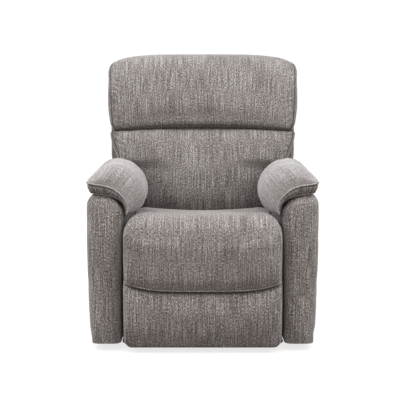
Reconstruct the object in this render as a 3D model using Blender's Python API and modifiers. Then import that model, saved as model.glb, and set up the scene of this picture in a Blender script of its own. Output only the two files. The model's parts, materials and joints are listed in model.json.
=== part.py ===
"""Recliner armchair: upholstered arms on a steel base, a seat carried by swing links, a reclining back and a
pantograph footrest.

Metres, +Z up. The chair faces -Y, and the origin is on the floor under the middle of its outline.
"left" and "right" are as seen from the front, so left is at -X.
"""

import math

import bmesh
import bpy
from mathutils import Matrix, Vector

# ---------------------------------------------------------------- driving dimensions
HALF_WIDTH = 0.410          # outer tip of the arm pads
HALF_DEPTH = 0.460          # seat front and rear of the back's cover
FRONT = -HALF_DEPTH
SIDES = (("left", -1), ("right", 1))
GAP = 0.0005                # air between pieces that touch

# arms
ARM_INNER = 0.286           # inner face of the padded arm
ARM_OUTER = 0.400           # outer face at its widest
ARM_FRONT = -0.418
ARM_REAR = 0.360
ARM_FLOOR = 0.026
ARM_TOP = 0.545
ARM_REAR_TOP = 0.500
COVER_THICKNESS = 0.006
PAD_REAR = 0.100            # rear end of the arm pad, at its lower edge

# steel planes, measured from the middle of the chair to each plate's inner face
PLATE = 0.003
LINK_PLANE = 0.2285         # extension and control links
LEAD_PLANE = 0.2345         # lead and guide links, footrest and back brackets
SEAT_PLATE_PLANE = 0.2405
SWING_PLANE = 0.2465
BASE_PLATE_PLANE = 0.2525
LINK_RADIUS = 0.009         # half of a link's width, and its round ends
PIN_RADIUS = 0.0040
HOLE_RADIUS = 0.0046
HEAD_RADIUS = 0.0075
HEAD_THICKNESS = 0.0015
HINGE_PIN_RADIUS = 0.0060
HINGE_HOLE_RADIUS = 0.0068
ROUND_SIDES = 12

# base
RAIL_IN, RAIL_OUT = 0.2560, 0.2820
RAIL_FRONT, RAIL_REAR = -0.330, 0.330
GLIDE_HEIGHT = 0.018
RAIL_HEIGHT = 0.030
RAIL_BOTTOM = GLIDE_HEIGHT + GAP
RAIL_TOP = RAIL_BOTTOM + RAIL_HEIGHT
TUBE_RADIUS = 0.0125
TUBE_Z = 0.072
TUBE_FRONT_Y, TUBE_REAR_Y = 0.020, 0.205

# swing links between base and seat
SWING_LENGTH = 0.110
SWING_LEAN = math.radians(10)
SWING_FRONT = Vector((-0.130, 0.130))   # (y, z) of the lower pivots
SWING_REAR = Vector((0.130, 0.130))
SWING_STEP = SWING_LENGTH * Vector((math.sin(SWING_LEAN), math.cos(SWING_LEAN)))

# footrest pantograph, at rest (folded); angles are from straight forward, upwards
LEAD_LENGTH = 0.250
EXTENSION_LENGTH = 0.290
LEAD_ANGLE = math.radians(-127)
EXTENSION_ANGLE = math.radians(20)
GUIDE_OFFSET = 0.045
CONTROL_OFFSET = 0.040
TORQUE_TUBE_AT = 0.100      # along the lead link
TORQUE_TUBE_RADIUS = 0.010
LEAD_PIVOT = Vector((-0.196, 0.335))

# seat
SEAT_HALF_WIDTH = 0.275
SEAT_REAR = 0.088
SEAT_CREST = 0.476
RAIL_WOOD_LOW, RAIL_WOOD_HIGH = 0.315, 0.368
WIRE_RADIUS = 0.0020
SPRING_Z = RAIL_WOOD_HIGH + WIRE_RADIUS + GAP
CUSHION_BOTTOM = SPRING_Z + WIRE_RADIUS + 0.002
HEM_MIDDLE, HEM_SIDE = 0.2185, 0.2525
APRON_BACK = -0.428
HEM_GAP = 0.0035

# footrest panel
FOOT_HALF_WIDTH = 0.270
FOOT_FRONT = -0.457
FOOT_BACK = -0.407
FOOT_BOTTOM = 0.020
BOARD_THICKNESS = 0.015

# back, modelled upright about its hinge and leant by the rake: v is rearwards, u is up the back
BACK_PIVOT = Vector((0.250, 0.400))
RAKE = math.radians(13)
BACK_LOW, BACK_SHOULDER, BACK_SEAM, BACK_TOP = 0.030, 0.222, 0.309, 0.636
LUMBAR_TOE = -0.045          # the lumbar cushion's front edge reaches down behind the seat
BACK_NARROW, LUMBAR_WIDE, HEAD_WIDE = 0.262, 0.377, 0.388
UPRIGHT_HALF = 0.018
UPRIGHT_OUTER = 0.2335
COVER_REAR = 0.071

# recessed release in the outer face of the left arm
CUP_Y, CUP_Z = -0.150, 0.420
CUP_LENGTH, CUP_HEIGHT, CUP_DEPTH = 0.110, 0.070, 0.030
CABLE_Z = 0.150             # where the cable crosses out of the arm
CABLE_HOLE_RADIUS = 0.008


# ---------------------------------------------------------------- scene and materials
def clear_scene():
    for old in list(bpy.data.objects):
        bpy.data.objects.remove(old, do_unlink=True)


def collection(name):
    made = bpy.data.collections.new(name)
    bpy.context.scene.collection.children.link(made)
    return made


def material(name, colour, roughness, metallic=0.0):
    made = bpy.data.materials.new(name)
    made.use_nodes = True
    shader = made.node_tree.nodes["Principled BSDF"]
    shader.inputs["Base Color"].default_value = (*colour, 1.0)
    shader.inputs["Roughness"].default_value = roughness
    shader.inputs["Metallic"].default_value = metallic
    return made


clear_scene()
CHAIR = collection("recliner_armchair")
TOOLS = collection("joining_tools")
FABRIC = material("fabric", (0.26, 0.24, 0.23), 0.95)
LINING = material("lining", (0.03, 0.03, 0.03), 0.95)
FOAM = material("foam", (0.70, 0.66, 0.52), 0.9)
STEEL = material("painted_steel", (0.05, 0.05, 0.055), 0.45, 0.8)
WIRE = material("spring_wire", (0.35, 0.35, 0.36), 0.35, 1.0)
WOOD = material("plywood", (0.56, 0.40, 0.24), 0.65)
PLASTIC = material("plastic", (0.02, 0.02, 0.02), 0.5)


# ---------------------------------------------------------------- making shapes
def unit(angle):
    """(y, z) of a unit step at an angle from straight forward, upwards."""
    return Vector((-math.cos(angle), math.sin(angle)))


def pivot(name, place, parent=None, turn=0.0):
    """An empty on a joint's axis, which runs along X through (y, z)."""
    made = bpy.data.objects.new(name, None)
    made.location = (0.0, place[0], place[1])
    made.rotation_euler = (turn, 0.0, 0.0)
    CHAIR.objects.link(made)
    if parent:
        hold(made, parent)
    bpy.context.view_layer.update()
    return made


def hold(child, parent):
    """Parents child without moving it."""
    bpy.context.view_layer.update()
    child.parent = parent
    child.matrix_parent_inverse = parent.matrix_world.inverted()


def finish_mesh(name, mesh, look, parent, smooth=True):
    mesh.name = name
    mesh.materials.clear()
    mesh.materials.append(look)
    if smooth:
        mesh.shade_smooth()
        mesh.set_sharp_from_angle(angle=math.radians(35))
    made = bpy.data.objects.new(name, mesh)
    CHAIR.objects.link(made)
    if parent:
        hold(made, parent)
    return made


def mesh_from(bm):
    bm.normal_update()
    bmesh.ops.recalc_face_normals(bm, faces=bm.faces)
    mesh = bpy.data.meshes.new("shape")
    bm.to_mesh(mesh)
    bm.free()
    return mesh


def block(name, low, high, look, parent=None, bevel=0.0, local=False):
    """A box between two corners, with its edges bevelled."""
    low, high = Vector(low), Vector(high)
    bm = bmesh.new()
    bmesh.ops.create_cube(bm, size=1.0)
    bmesh.ops.scale(bm, vec=high - low, verts=bm.verts)
    bmesh.ops.translate(bm, vec=(low + high) / 2, verts=bm.verts)
    made = finish_mesh(name, mesh_from(bm), look, None if local else parent, smooth=False)
    if local:
        made.parent = parent
    if bevel:
        edge = made.modifiers.new("edges", "BEVEL")
        edge.width = bevel
        edge.segments = 1
    return made


def rod(name, start, end, radius, look, parent=None, sides=ROUND_SIDES):
    """A closed cylinder from start to end."""
    start, end = Vector(start), Vector(end)
    along = end - start
    bm = bmesh.new()
    bmesh.ops.create_cone(
        bm, cap_ends=True, segments=sides, radius1=radius, radius2=radius, depth=along.length
    )
    place = Matrix.Translation((start + end) / 2) @ along.to_track_quat("Z", "Y").to_matrix().to_4x4()
    bmesh.ops.transform(bm, matrix=place, verts=bm.verts)
    return finish_mesh(name, mesh_from(bm), look, parent)


def circle(centre, radius, sides=ROUND_SIDES):
    steps = [2 * math.pi * k / sides for k in range(sides)]
    return [Vector((centre[0] + radius * math.cos(a), centre[1] + radius * math.sin(a))) for a in steps]


def rounded(points, radius, steps=4):
    """The outline at a distance round an anticlockwise polygon, with arcs at its outer corners."""
    outline = []
    points = [Vector(p) for p in points]
    for before, here, after in zip(points[-1:] + points[:-1], points, points[1:] + points[:1]):
        first = (here - before).normalized()
        second = (after - here).normalized()
        out_first = Vector((first.y, -first.x))
        out_second = Vector((second.y, -second.x))
        turn = math.atan2(first.x * second.y - first.y * second.x, first.dot(second))
        if abs(turn) > math.pi - 1e-4:
            turn = math.pi
        if turn <= 0:
            outline.append(here + radius * (out_first + out_second) / (1 + out_first.dot(out_second)))
            continue
        for k in range(steps + 1):
            angle = turn * k / steps
            spin = Matrix.Rotation(angle, 2)
            outline.append(here + radius * (spin @ out_first))
    return outline


def outline_mesh(outlines, thickness):
    """A flat solid in the YZ plane, from x 0 to thickness: the first outline is its edge, the others are holes."""
    curve = bpy.data.curves.new("outline", "CURVE")
    curve.dimensions = "2D"
    curve.fill_mode = "BOTH"
    curve.extrude = thickness / 2
    for points in outlines:
        spline = curve.splines.new("POLY")
        spline.points.add(len(points) - 1)
        for point, place in zip(spline.points, points):
            point.co = (place[0], place[1], 0.0, 1.0)
        spline.use_cyclic_u = True
    drawn = bpy.data.objects.new("outline", curve)
    TOOLS.objects.link(drawn)
    bpy.context.view_layer.update()
    graph = bpy.context.evaluated_depsgraph_get()
    mesh = bpy.data.meshes.new_from_object(drawn.evaluated_get(graph))
    bpy.data.objects.remove(drawn)
    bpy.data.curves.remove(curve)
    bm = bmesh.new()
    bm.from_mesh(mesh)
    bmesh.ops.remove_doubles(bm, verts=bm.verts, dist=1e-6)
    to_yz = Matrix(((0, 0, 1, thickness / 2), (1, 0, 0, 0), (0, 1, 0, 0), (0, 0, 0, 1)))
    bmesh.ops.transform(bm, matrix=to_yz, verts=bm.verts)
    return mesh_from(bm)


def plate(name, side, plane, outlines, look, parent, thickness=PLATE):
    """A flat plate on one side of the chair, its inner face at the given plane."""
    mesh = outline_mesh(outlines, thickness)
    start = plane if side > 0 else -plane - thickness
    mesh.transform(Matrix.Translation((start, 0.0, 0.0)))
    return finish_mesh(name, mesh, look, parent, smooth=False)


def add_tool(target, tool, operation):
    for owner in list(tool.users_collection):
        owner.objects.unlink(tool)
    TOOLS.objects.link(tool)
    tool.hide_render = True
    tool.display_type = "WIRE"
    if target.parent:
        hold(tool, target.parent)
    step = target.modifiers.new(tool.name, "BOOLEAN")
    step.operation = operation
    step.object = tool


def rivet(owner, side, place, from_plane, to_plane, radius=PIN_RADIUS, head=HEAD_RADIUS):
    """Joins a pin to owner: a shaft from inside owner's plate through the plate at to_plane, with a head past it."""
    inwards = to_plane < from_plane
    root = from_plane + PLATE / 2
    far = to_plane - GAP if inwards else to_plane + PLATE + GAP
    tip = far - HEAD_THICKNESS if inwards else far + HEAD_THICKNESS
    overlap = HEAD_THICKNESS / 2
    under_head = tip + overlap if inwards else tip - overlap
    shaft = rod(owner.name + "_shaft", (side * root, *place), (side * under_head, *place), radius, STEEL)
    cap = rod(owner.name + "_head", (side * far, *place), (side * tip, *place), head, STEEL)
    add_tool(owner, shaft, "UNION")
    add_tool(owner, cap, "UNION")


def link(name, side, plane, ends, holes, parent, radius=LINK_RADIUS):
    """A flat bar with round ends and plain holes."""
    outlines = [rounded(ends, radius, 5)]
    outlines += [circle(place, HOLE_RADIUS) for place in holes]
    return plate(name, side, plane, outlines, STEEL, parent)


def loft(name, loops, look, parent=None, local=False, smooth=True):
    """A closed solid through loops of the same number of points, capped at both ends."""
    bm = bmesh.new()
    rings = [[bm.verts.new(p) for p in loop] for loop in loops]
    count = len(rings[0])
    for first, second in zip(rings, rings[1:]):
        for k in range(count):
            following = (k + 1) % count
            bm.faces.new((first[k], first[following], second[following], second[k]))
    bm.faces.new(rings[0])
    bm.faces.new(rings[-1])
    made = finish_mesh(name, mesh_from(bm), look, None if local else parent, smooth)
    if local:
        made.parent = parent
    return made


def ease(value):
    value = max(0.0, min(1.0, value))
    return value * value * (3 - 2 * value)


# ---------------------------------------------------------------- base
def base_bracket(side_name, side):
    low = RAIL_TOP + GAP + 0.010
    corners = [(SWING_FRONT.x - 0.030, low), (TUBE_REAR_Y + 0.020, low), (SWING_REAR.x + 0.020, SWING_REAR.y)]
    corners += [(SWING_FRONT.x - 0.005, SWING_FRONT.y)]
    made = plate("base_bracket_" + side_name, side, BASE_PLATE_PLANE, [rounded(corners, 0.010)], STEEL, None)
    for place in (SWING_FRONT, SWING_REAR):
        rivet(made, side, place, BASE_PLATE_PLANE, SWING_PLANE)


def glide(name, x, y):
    """A turned plastic foot: profile down its outer side, from top to bottom."""
    profile = [(0.0, GLIDE_HEIGHT), (0.012, GLIDE_HEIGHT), (0.016, 0.012), (0.018, 0.003), (0.016, 0.0), (0.0, 0.0)]
    bm = bmesh.new()
    points = [bm.verts.new((r, 0.0, z)) for r, z in profile]
    for first, second in zip(points, points[1:]):
        bm.edges.new((first, second))
    mesh = bpy.data.meshes.new(name)
    bm.to_mesh(mesh)
    bm.free()
    made = finish_mesh(name, mesh, PLASTIC, None, smooth=False)
    made.location = (x, y, 0.0)
    turn = made.modifiers.new("turned", "SCREW")
    turn.steps = turn.render_steps = 16
    turn.use_merge_vertices = True
    turn.merge_threshold = 1e-5
    turn.use_smooth_shade = True


def base():
    for side_name, side in SIDES:
        middle = side * (RAIL_IN + RAIL_OUT) / 2
        half = (RAIL_OUT - RAIL_IN) / 2
        block(
            "base_rail_" + side_name,
            (middle - half, RAIL_FRONT, RAIL_BOTTOM),
            (middle + half, RAIL_REAR, RAIL_TOP),
            STEEL,
            bevel=0.002,
        )
        glide("glide_front_" + side_name, middle, RAIL_FRONT + 0.025)
        glide("glide_rear_" + side_name, middle, RAIL_REAR - 0.025)
        base_bracket(side_name, side)
    reach = BASE_PLATE_PLANE - GAP
    rod("base_tube_front", (-reach, TUBE_FRONT_Y, TUBE_Z), (reach, TUBE_FRONT_Y, TUBE_Z), TUBE_RADIUS, STEEL)
    rod("base_tube_rear", (-reach, TUBE_REAR_Y, TUBE_Z), (reach, TUBE_REAR_Y, TUBE_Z), TUBE_RADIUS, STEEL)
    block(
        "rear_panel",
        (-ARM_INNER + 0.003, 0.335, 0.040),
        (ARM_INNER - 0.003, 0.358, 0.424),
        LINING,
        bevel=0.006,
    )


# ---------------------------------------------------------------- arms
def arm_outer_at(z):
    """Distance of the arm's outer face from the middle of the chair: full at chest height, drawn in at the hem."""
    share = (z - ARM_FLOOR) / (ARM_TOP - ARM_FLOOR)
    return ARM_OUTER - 0.012 * (1 - share) ** 2 - 0.008 * ease((share - 0.88) / 0.12) ** 2


def arm_top_at(x, y):
    """Height of the padded arm's top: it falls towards the seat, and behind the pad."""
    across = (abs(x) - ARM_INNER) / (ARM_OUTER - ARM_INNER)
    fall = 0.030 * (1 - across) ** 4
    return ARM_TOP - fall - (ARM_TOP - ARM_REAR_TOP) * ease((y - PAD_REAR) / (ARM_REAR - PAD_REAR))


def arm_cover(side_name, side):
    """The padded fabric shell of the arm, open underneath."""
    across, along, up = 4, 6, 6
    bm = bmesh.new()
    bmesh.ops.create_cube(bm, size=1.0)
    bmesh.ops.translate(bm, vec=(0.5, 0.5, 0.5), verts=bm.verts)
    for axis, count in enumerate((across, along, up)):
        normal = Vector((0, 0, 0))
        normal[axis] = 1.0
        for k in range(1, count):
            everything = bm.verts[:] + bm.edges[:] + bm.faces[:]
            bmesh.ops.bisect_plane(bm, geom=everything, plane_co=normal * k / count, plane_no=normal)
    for vert in bm.verts:
        a, b, c = vert.co
        y = ARM_FRONT + b * (ARM_REAR - ARM_FRONT)
        rough_z = ARM_FLOOR + c * (ARM_TOP - ARM_FLOOR)
        x = ARM_INNER + a * (arm_outer_at(rough_z) - ARM_INNER)
        z = ARM_FLOOR + c * (arm_top_at(x, y) - ARM_FLOOR)
        corner = 0.012 * ease((abs(a - 0.5) - 0.25) / 0.25)
        y += corner if b < 1e-6 else (-corner if b > 1 - 1e-6 else 0.0)
        vert.co = (side * x, y, z)
    bm.normal_update()
    bmesh.ops.recalc_face_normals(bm, faces=bm.faces)
    under = [f for f in bm.faces if all(v.co.z < ARM_FLOOR + 1e-6 for v in f.verts)]
    bmesh.ops.delete(bm, geom=under, context="FACES")
    mesh = bpy.data.meshes.new("shell")
    bm.to_mesh(mesh)
    bm.free()
    made = finish_mesh("arm_cover_" + side_name, mesh, FABRIC, None)
    shell = made.modifiers.new("padding", "SOLIDIFY")
    shell.thickness = COVER_THICKNESS
    shell.offset = -1.0
    return made


def pad_section(y, lift, draw):
    """The arm pad across the arm at y: draped over the arm's top, and rolled inwards over the seat.

    lift scales its height over the arm, and draw pulls its roll back towards the arm.
    """
    under = [0.392, 0.360, 0.325, ARM_INNER + 0.012]
    bottom = [(x, arm_top_at(x, y) + 2 * GAP + 0.001) for x in under]
    bottom[0] = (0.392, ARM_TOP + 0.012)
    inner_x = ARM_INNER - 0.004
    bottom.append((ARM_INNER - 0.002, arm_top_at(ARM_INNER, y) + 0.005))
    roll = [(inner_x, 0.505), (0.268, 0.489), (0.242, 0.494), (0.216, 0.518), (0.203, 0.556)]
    roll += [(0.207, 0.596), (0.232, 0.628), (0.275, 0.643)]
    top = [(0.325, 0.643), (0.372, 0.627), (0.404, 0.606), (HALF_WIDTH, 0.592), (0.407, 0.572)]
    shaped = []
    for x, z in roll:
        shaped.append((inner_x + (x - inner_x) * draw, 0.530 + (z - 0.530) * (lift if z > 0.530 else 1.0)))
    for x, z in top:
        shaped.append((x, 0.572 + (z - 0.572) * lift))
    return bottom + shaped


def arm_pad(side_name, side):
    stations = [
        (-0.424, 0.52, 0.55),
        (-0.419, 0.70, 0.74),
        (-0.405, 0.86, 0.89),
        (-0.370, 0.96, 0.98),
        (-0.280, 1.00, 1.00),
        (-0.100, 1.00, 1.00),
        (0.030, 0.98, 0.96),
        (0.085, 0.88, 0.84),
        (PAD_REAR, 0.68, 0.66),
    ]
    loops = []
    for y, lift, draw in stations:
        slope = 0.35 * ease((y + 0.10) / 0.20)
        section = pad_section(y, lift, draw)
        loops.append([(side * x, y + slope * max(0.0, z - 0.50), z) for x, z in section])
    loft("arm_pad_" + side_name, loops, FABRIC)


def arm_boards(side_name, side):
    """Plywood inside the padded shell: an inner board that carries the arm, and an outer one."""
    for name, near, top in (("inner", ARM_INNER + 0.010, 0.488), ("outer", ARM_OUTER - 0.052, 0.505)):
        low, high = side * near, side * (near + 0.012)
        block(
            "arm_" + name + "_board_" + side_name,
            (min(low, high), ARM_FRONT + 0.030, ARM_FLOOR + 0.004),
            (max(low, high), ARM_REAR - 0.030, top - 0.030),
            WOOD,
            bevel=0.002,
        )


def arms():
    for side_name, side in SIDES:
        cover = arm_cover(side_name, side)
        arm_pad(side_name, side)
        arm_boards(side_name, side)
        if side_name == "left":
            hole = block(
                "cup_hole",
                (-0.50, CUP_Y - CUP_LENGTH / 2 - GAP, CUP_Z - CUP_HEIGHT / 2 - GAP),
                (-0.38, CUP_Y + CUP_LENGTH / 2 + GAP, CUP_Z + CUP_HEIGHT / 2 + GAP),
                PLASTIC,
            )
            add_tool(cover, hole, "DIFFERENCE")
            for owner, near, far in (
                (cover, 0.270, 0.294),
                (bpy.data.objects["arm_inner_board_left"], 0.290, 0.314),
                (bpy.data.objects["arm_outer_board_left"], 0.341, 0.366),
            ):
                lane = (CUP_Y + 0.032, CABLE_Z + (0.003 if near > 0.33 else 0.0))
                bore = rod("cable_bore", (-near, *lane), (-far, *lane), CABLE_HOLE_RADIUS, PLASTIC)
                add_tool(owner, bore, "DIFFERENCE")


# ---------------------------------------------------------------- release
def release():
    """A recessed finger pull: a plastic cup in the arm, a paddle hinged in it, and the cable to the latch."""
    face = -(arm_outer_at(CUP_Z) + 0.0005)
    half_y, half_z = CUP_LENGTH / 2, CUP_HEIGHT / 2
    cup = block(
        "release_cup",
        (face, CUP_Y - half_y, CUP_Z - half_z),
        (face + CUP_DEPTH, CUP_Y + half_y, CUP_Z + half_z),
        PLASTIC,
        bevel=0.002,
    )
    wall = 0.003
    hollow = block(
        "cup_hollow",
        (face - 0.02, CUP_Y - half_y + wall, CUP_Z - half_z + wall),
        (face + CUP_DEPTH - wall, CUP_Y + half_y - wall, CUP_Z + half_z - wall),
        PLASTIC,
    )
    add_tool(cup, hollow, "DIFFERENCE")
    hinge = bpy.data.objects.new("release_hinge", None)
    hinge.location = (face + 0.008, CUP_Y - half_y + 0.010, CUP_Z)
    CHAIR.objects.link(hinge)
    block(
        "release_paddle",
        (face + 0.004, CUP_Y - half_y + 0.006, CUP_Z - half_z + 0.006),
        (face + 0.010, CUP_Y + 0.012, CUP_Z + half_z - 0.006),
        PLASTIC,
        hinge,
        bevel=0.0015,
    )
    paddle = bpy.data.objects["release_paddle"]
    end = half_z - wall / 2
    for owner, radius, reach, operation in (
        (cup, 0.0036, end + GAP, "DIFFERENCE"),
        (paddle, 0.0030, end, "UNION"),
    ):
        low = (*hinge.location.xy, CUP_Z - reach)
        high = (*hinge.location.xy, CUP_Z + reach)
        add_tool(owner, rod("paddle_pin", low, high, radius, PLASTIC), operation)
    lane = CUP_Y + 0.032
    cable_route = [
        (-0.3780, lane, CUP_Z - half_z - GAP),
        (-0.3785, lane, 0.300),
        (-0.3780, lane, 0.205),
        (-0.3750, lane, 0.175),
        (-0.3650, lane, 0.155),
        (-0.3480, lane, CABLE_Z),
        (-0.3000, lane, CABLE_Z),
        (-0.2800, lane, CABLE_Z - 0.003),
        (-0.2650, lane, 0.132),
        (-0.2595, lane, 0.105),
        (-0.2590, lane, 0.080),
    ]
    cable("release_cable", cable_route, 0.0025)


def cable(name, route, radius):
    """A tube along a smooth curve through the route's points."""
    knots = [Vector(p) for p in route]
    ends = [2 * knots[0] - knots[1]] + knots + [2 * knots[-1] - knots[-2]]
    points = []
    for a, b, c, d in zip(ends, ends[1:], ends[2:], ends[3:]):
        for step in (0.0, 0.5):
            smooth = 2 * b + (c - a) * step
            smooth += (2 * a - 5 * b + 4 * c - d) * step**2
            smooth += (3 * b - a - 3 * c + d) * step**3
            points.append(smooth / 2)
    points.append(knots[-1])
    curve = bpy.data.curves.new(name, "CURVE")
    curve.dimensions = "3D"
    curve.bevel_depth = radius
    curve.bevel_resolution = 2
    curve.use_fill_caps = True
    spline = curve.splines.new("POLY")
    spline.points.add(len(points) - 1)
    for point, place in zip(spline.points, points):
        point.co = (*place, 1.0)
    curve.materials.append(PLASTIC)
    made = bpy.data.objects.new(name, curve)
    CHAIR.objects.link(made)
    return made


# ---------------------------------------------------------------- swing links
def swing_links():
    pivots = {}
    for end, low in (("front", SWING_FRONT), ("rear", SWING_REAR)):
        pivots[end] = pivot("swing_" + end + "_pivot", low)
        for side_name, side in SIDES:
            places = [low, low + SWING_STEP]
            link("swing_link_" + end + "_" + side_name, side, SWING_PLANE, places, places, pivots[end])
    return pivots


# ---------------------------------------------------------------- seat
def hem_at(x):
    """Height of the seat's front hem: lowest in the middle, swept up to the sides."""
    share = min(1.0, abs(x) / SEAT_HALF_WIDTH)
    return HEM_MIDDLE + (HEM_SIDE - HEM_MIDDLE) * share**4


def seat_section(x):
    """The seat cushion along the chair at x: a crowned top, rolled down into an apron in front of the frame."""
    edge = ease((abs(x) / SEAT_HALF_WIDTH - 0.72) / 0.28)
    low = 0.026 * edge**2
    back = 0.009 * edge**2
    hem = hem_at(x)
    front = FRONT + back
    top = SEAT_CREST - low
    return [
        (front + 0.006, hem),
        (front + 0.001, hem + 0.020),
        (front, 0.330),
        (front + 0.002, 0.390 - low),
        (front + 0.014, 0.440 - low),
        (front + 0.042, top - 0.014),
        (front + 0.090, top),
        (-0.280, top - 0.005),
        (-0.100, top - 0.022),
        (0.030, top - 0.037),
        (SEAT_REAR - 0.012, top - 0.048),
        (SEAT_REAR, top - 0.070),
        (SEAT_REAR - 0.006, CUSHION_BOTTOM),
        (APRON_BACK + 0.008, CUSHION_BOTTOM),
        (APRON_BACK, CUSHION_BOTTOM - 0.004),
        (APRON_BACK, hem + 0.012),
        (APRON_BACK - 0.006, hem),
    ]


def seat_springs(parent):
    """Four sinuous springs tied across by two wires, joined where they cross."""
    front, rear = -0.415, 0.186
    bends, swing = 11, 0.024
    first = None
    for number, x in enumerate((-0.165, -0.055, 0.055, 0.165)):
        points = [(x, front, SPRING_Z)]
        for k in range(bends):
            y = front + 0.030 + (rear - front - 0.060) * k / (bends - 1)
            out = swing if k % 2 else -swing
            points += [(x + out, y - 0.009, SPRING_Z), (x + out, y + 0.009, SPRING_Z)]
        points.append((x, rear, SPRING_Z))
        wire = wire_mesh("seat_springs" if first is None else f"spring_{number}", points, parent)
        if first is None:
            first = wire
        else:
            add_tool(first, wire, "UNION")
    for number, y in enumerate((-0.2250, -0.0085)):
        tie = wire_mesh(f"tie_{number}", [(-0.200, y, SPRING_Z), (0.200, y, SPRING_Z)], parent)
        add_tool(first, tie, "UNION")


def wire_mesh(name, points, parent):
    curve = bpy.data.curves.new(name, "CURVE")
    curve.dimensions = "3D"
    curve.bevel_depth = WIRE_RADIUS
    curve.bevel_resolution = 1
    curve.use_fill_caps = True
    spline = curve.splines.new("POLY")
    spline.points.add(len(points) - 1)
    for point, place in zip(spline.points, points):
        point.co = (*place, 1.0)
    drawn = bpy.data.objects.new(name, curve)
    TOOLS.objects.link(drawn)
    bpy.context.view_layer.update()
    mesh = bpy.data.meshes.new_from_object(drawn.evaluated_get(bpy.context.evaluated_depsgraph_get()))
    bpy.data.objects.remove(drawn)
    bm = bmesh.new()
    bm.from_mesh(mesh)
    bmesh.ops.remove_doubles(bm, verts=bm.verts, dist=1e-6)
    return finish_mesh(name, mesh_from(bm), WIRE, parent)


def seat_plate(side_name, side, parent):
    """The steel side plate that carries the seat, the back hinge and the footrest links."""
    front, rear = SWING_FRONT + SWING_STEP, SWING_REAR + SWING_STEP
    guide = LEAD_PIVOT + GUIDE_OFFSET * unit(EXTENSION_ANGLE)
    corners = [
        (guide.x - 0.004, guide.y - 0.022),
        (front.x - 0.010, front.y - 0.001),
        (rear.x + 0.004, rear.y - 0.001),
        (BACK_PIVOT.x + 0.002, BACK_PIVOT.y - 0.045),
        (BACK_PIVOT.x + 0.002, BACK_PIVOT.y + 0.002),
        (BACK_PIVOT.x - 0.006, BACK_PIVOT.y + 0.002),
        (0.165, 0.352),
        (guide.x - 0.004, 0.352),
    ]
    made = plate("seat_plate_" + side_name, side, SEAT_PLATE_PLANE, [rounded(corners, 0.012)], STEEL, parent)
    for place in (front, rear):
        rivet(made, side, place, SEAT_PLATE_PLANE, SWING_PLANE)
    for place in (LEAD_PIVOT, guide):
        rivet(made, side, place, SEAT_PLATE_PLANE, LEAD_PLANE)
    rivet(made, side, BACK_PIVOT, SEAT_PLATE_PLANE, LEAD_PLANE, HINGE_PIN_RADIUS, 0.0105)


def seat(swing_pivot):
    seat_pivot = pivot("seat_pivot", SWING_FRONT + SWING_STEP, swing_pivot)
    rail_in, rail_out = SEAT_PLATE_PLANE + PLATE + GAP, SEAT_PLATE_PLANE + PLATE + GAP + 0.022
    for side_name, side in SIDES:
        seat_plate(side_name, side, seat_pivot)
        low, high = sorted((side * rail_in, side * rail_out))
        block(
            "seat_rail_" + side_name,
            (low, -0.400, RAIL_WOOD_LOW),
            (high, 0.200, RAIL_WOOD_HIGH),
            WOOD,
            seat_pivot,
            bevel=0.002,
        )
    half = rail_out - 0.002
    block("seat_rail_front", (-half, -0.425, 0.300), (half, -0.401, RAIL_WOOD_HIGH), WOOD, seat_pivot, bevel=0.002)
    inner = SEAT_PLATE_PLANE - GAP
    block("seat_rail_rear", (-inner, 0.172, RAIL_WOOD_LOW), (inner, 0.196, RAIL_WOOD_HIGH), WOOD, seat_pivot, bevel=0.002)
    seat_springs(seat_pivot)
    stations = [-1.0, -0.97, -0.90, -0.78, -0.55, -0.28, 0.0, 0.28, 0.55, 0.78, 0.90, 0.97, 1.0]
    loops = [[(SEAT_HALF_WIDTH * s, y, z) for y, z in seat_section(SEAT_HALF_WIDTH * s)] for s in stations]
    loft("seat_cushion", loops, FABRIC, seat_pivot)
    return seat_pivot


# ---------------------------------------------------------------- back
def back_top_at(share):
    """Height of the back's top edge: a low arch, turned down at its corners."""
    return BACK_TOP - 0.022 * share**2 - 0.034 * ease((share - 0.88) / 0.12) ** 2


def back_bulge(x, half_width, depth, side_depth):
    """How far a back cushion stands forward at x: crowned across, drawn back at its sides."""
    share = min(1.0, abs(x) / half_width)
    return depth + (side_depth - depth) * share**3


def lumbar_section(x):
    front = back_bulge(x, LUMBAR_WIDE, -0.165, -0.100)
    rear = -UPRIGHT_HALF - 2 * GAP
    shoulder = ease((abs(x) - 0.250) / 0.030)
    low = BACK_LOW + (BACK_SHOULDER - BACK_LOW) * shoulder
    toe = LUMBAR_TOE + (BACK_SHOULDER - LUMBAR_TOE) * shoulder
    high = BACK_SEAM - GAP
    span, reach = high - low, high - toe
    return [
        (rear, low),
        (rear, low + 0.3 * span),
        (rear, low + 0.7 * span),
        (rear, high),
        (front + 0.030, high),
        (front + 0.008, high - 0.12 * reach),
        (front, toe + 0.62 * reach),
        (front, toe + 0.30 * reach),
        (front + 0.012, toe + 0.10 * reach),
        (front + 0.036, toe),
    ]


def head_section(x):
    share = min(1.0, abs(x) / HEAD_WIDE)
    front = back_bulge(x, HEAD_WIDE, -0.185, -0.112)
    rear = -UPRIGHT_HALF - 2 * GAP
    high = back_top_at(share)
    low = BACK_SEAM + GAP
    span = high - low
    return [
        (rear, low),
        (rear, low + 0.5 * span),
        (rear, high - 0.030),
        (rear - 0.010, high - 0.006),
        (rear - 0.045, high),
        (front + 0.060, high - 0.012),
        (front + 0.020, high - 0.055),
        (front + 0.002, low + 0.58 * span),
        (front, low + 0.30 * span),
        (front + 0.010, low + 0.08 * span),
        (front + 0.032, low),
    ]


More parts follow.
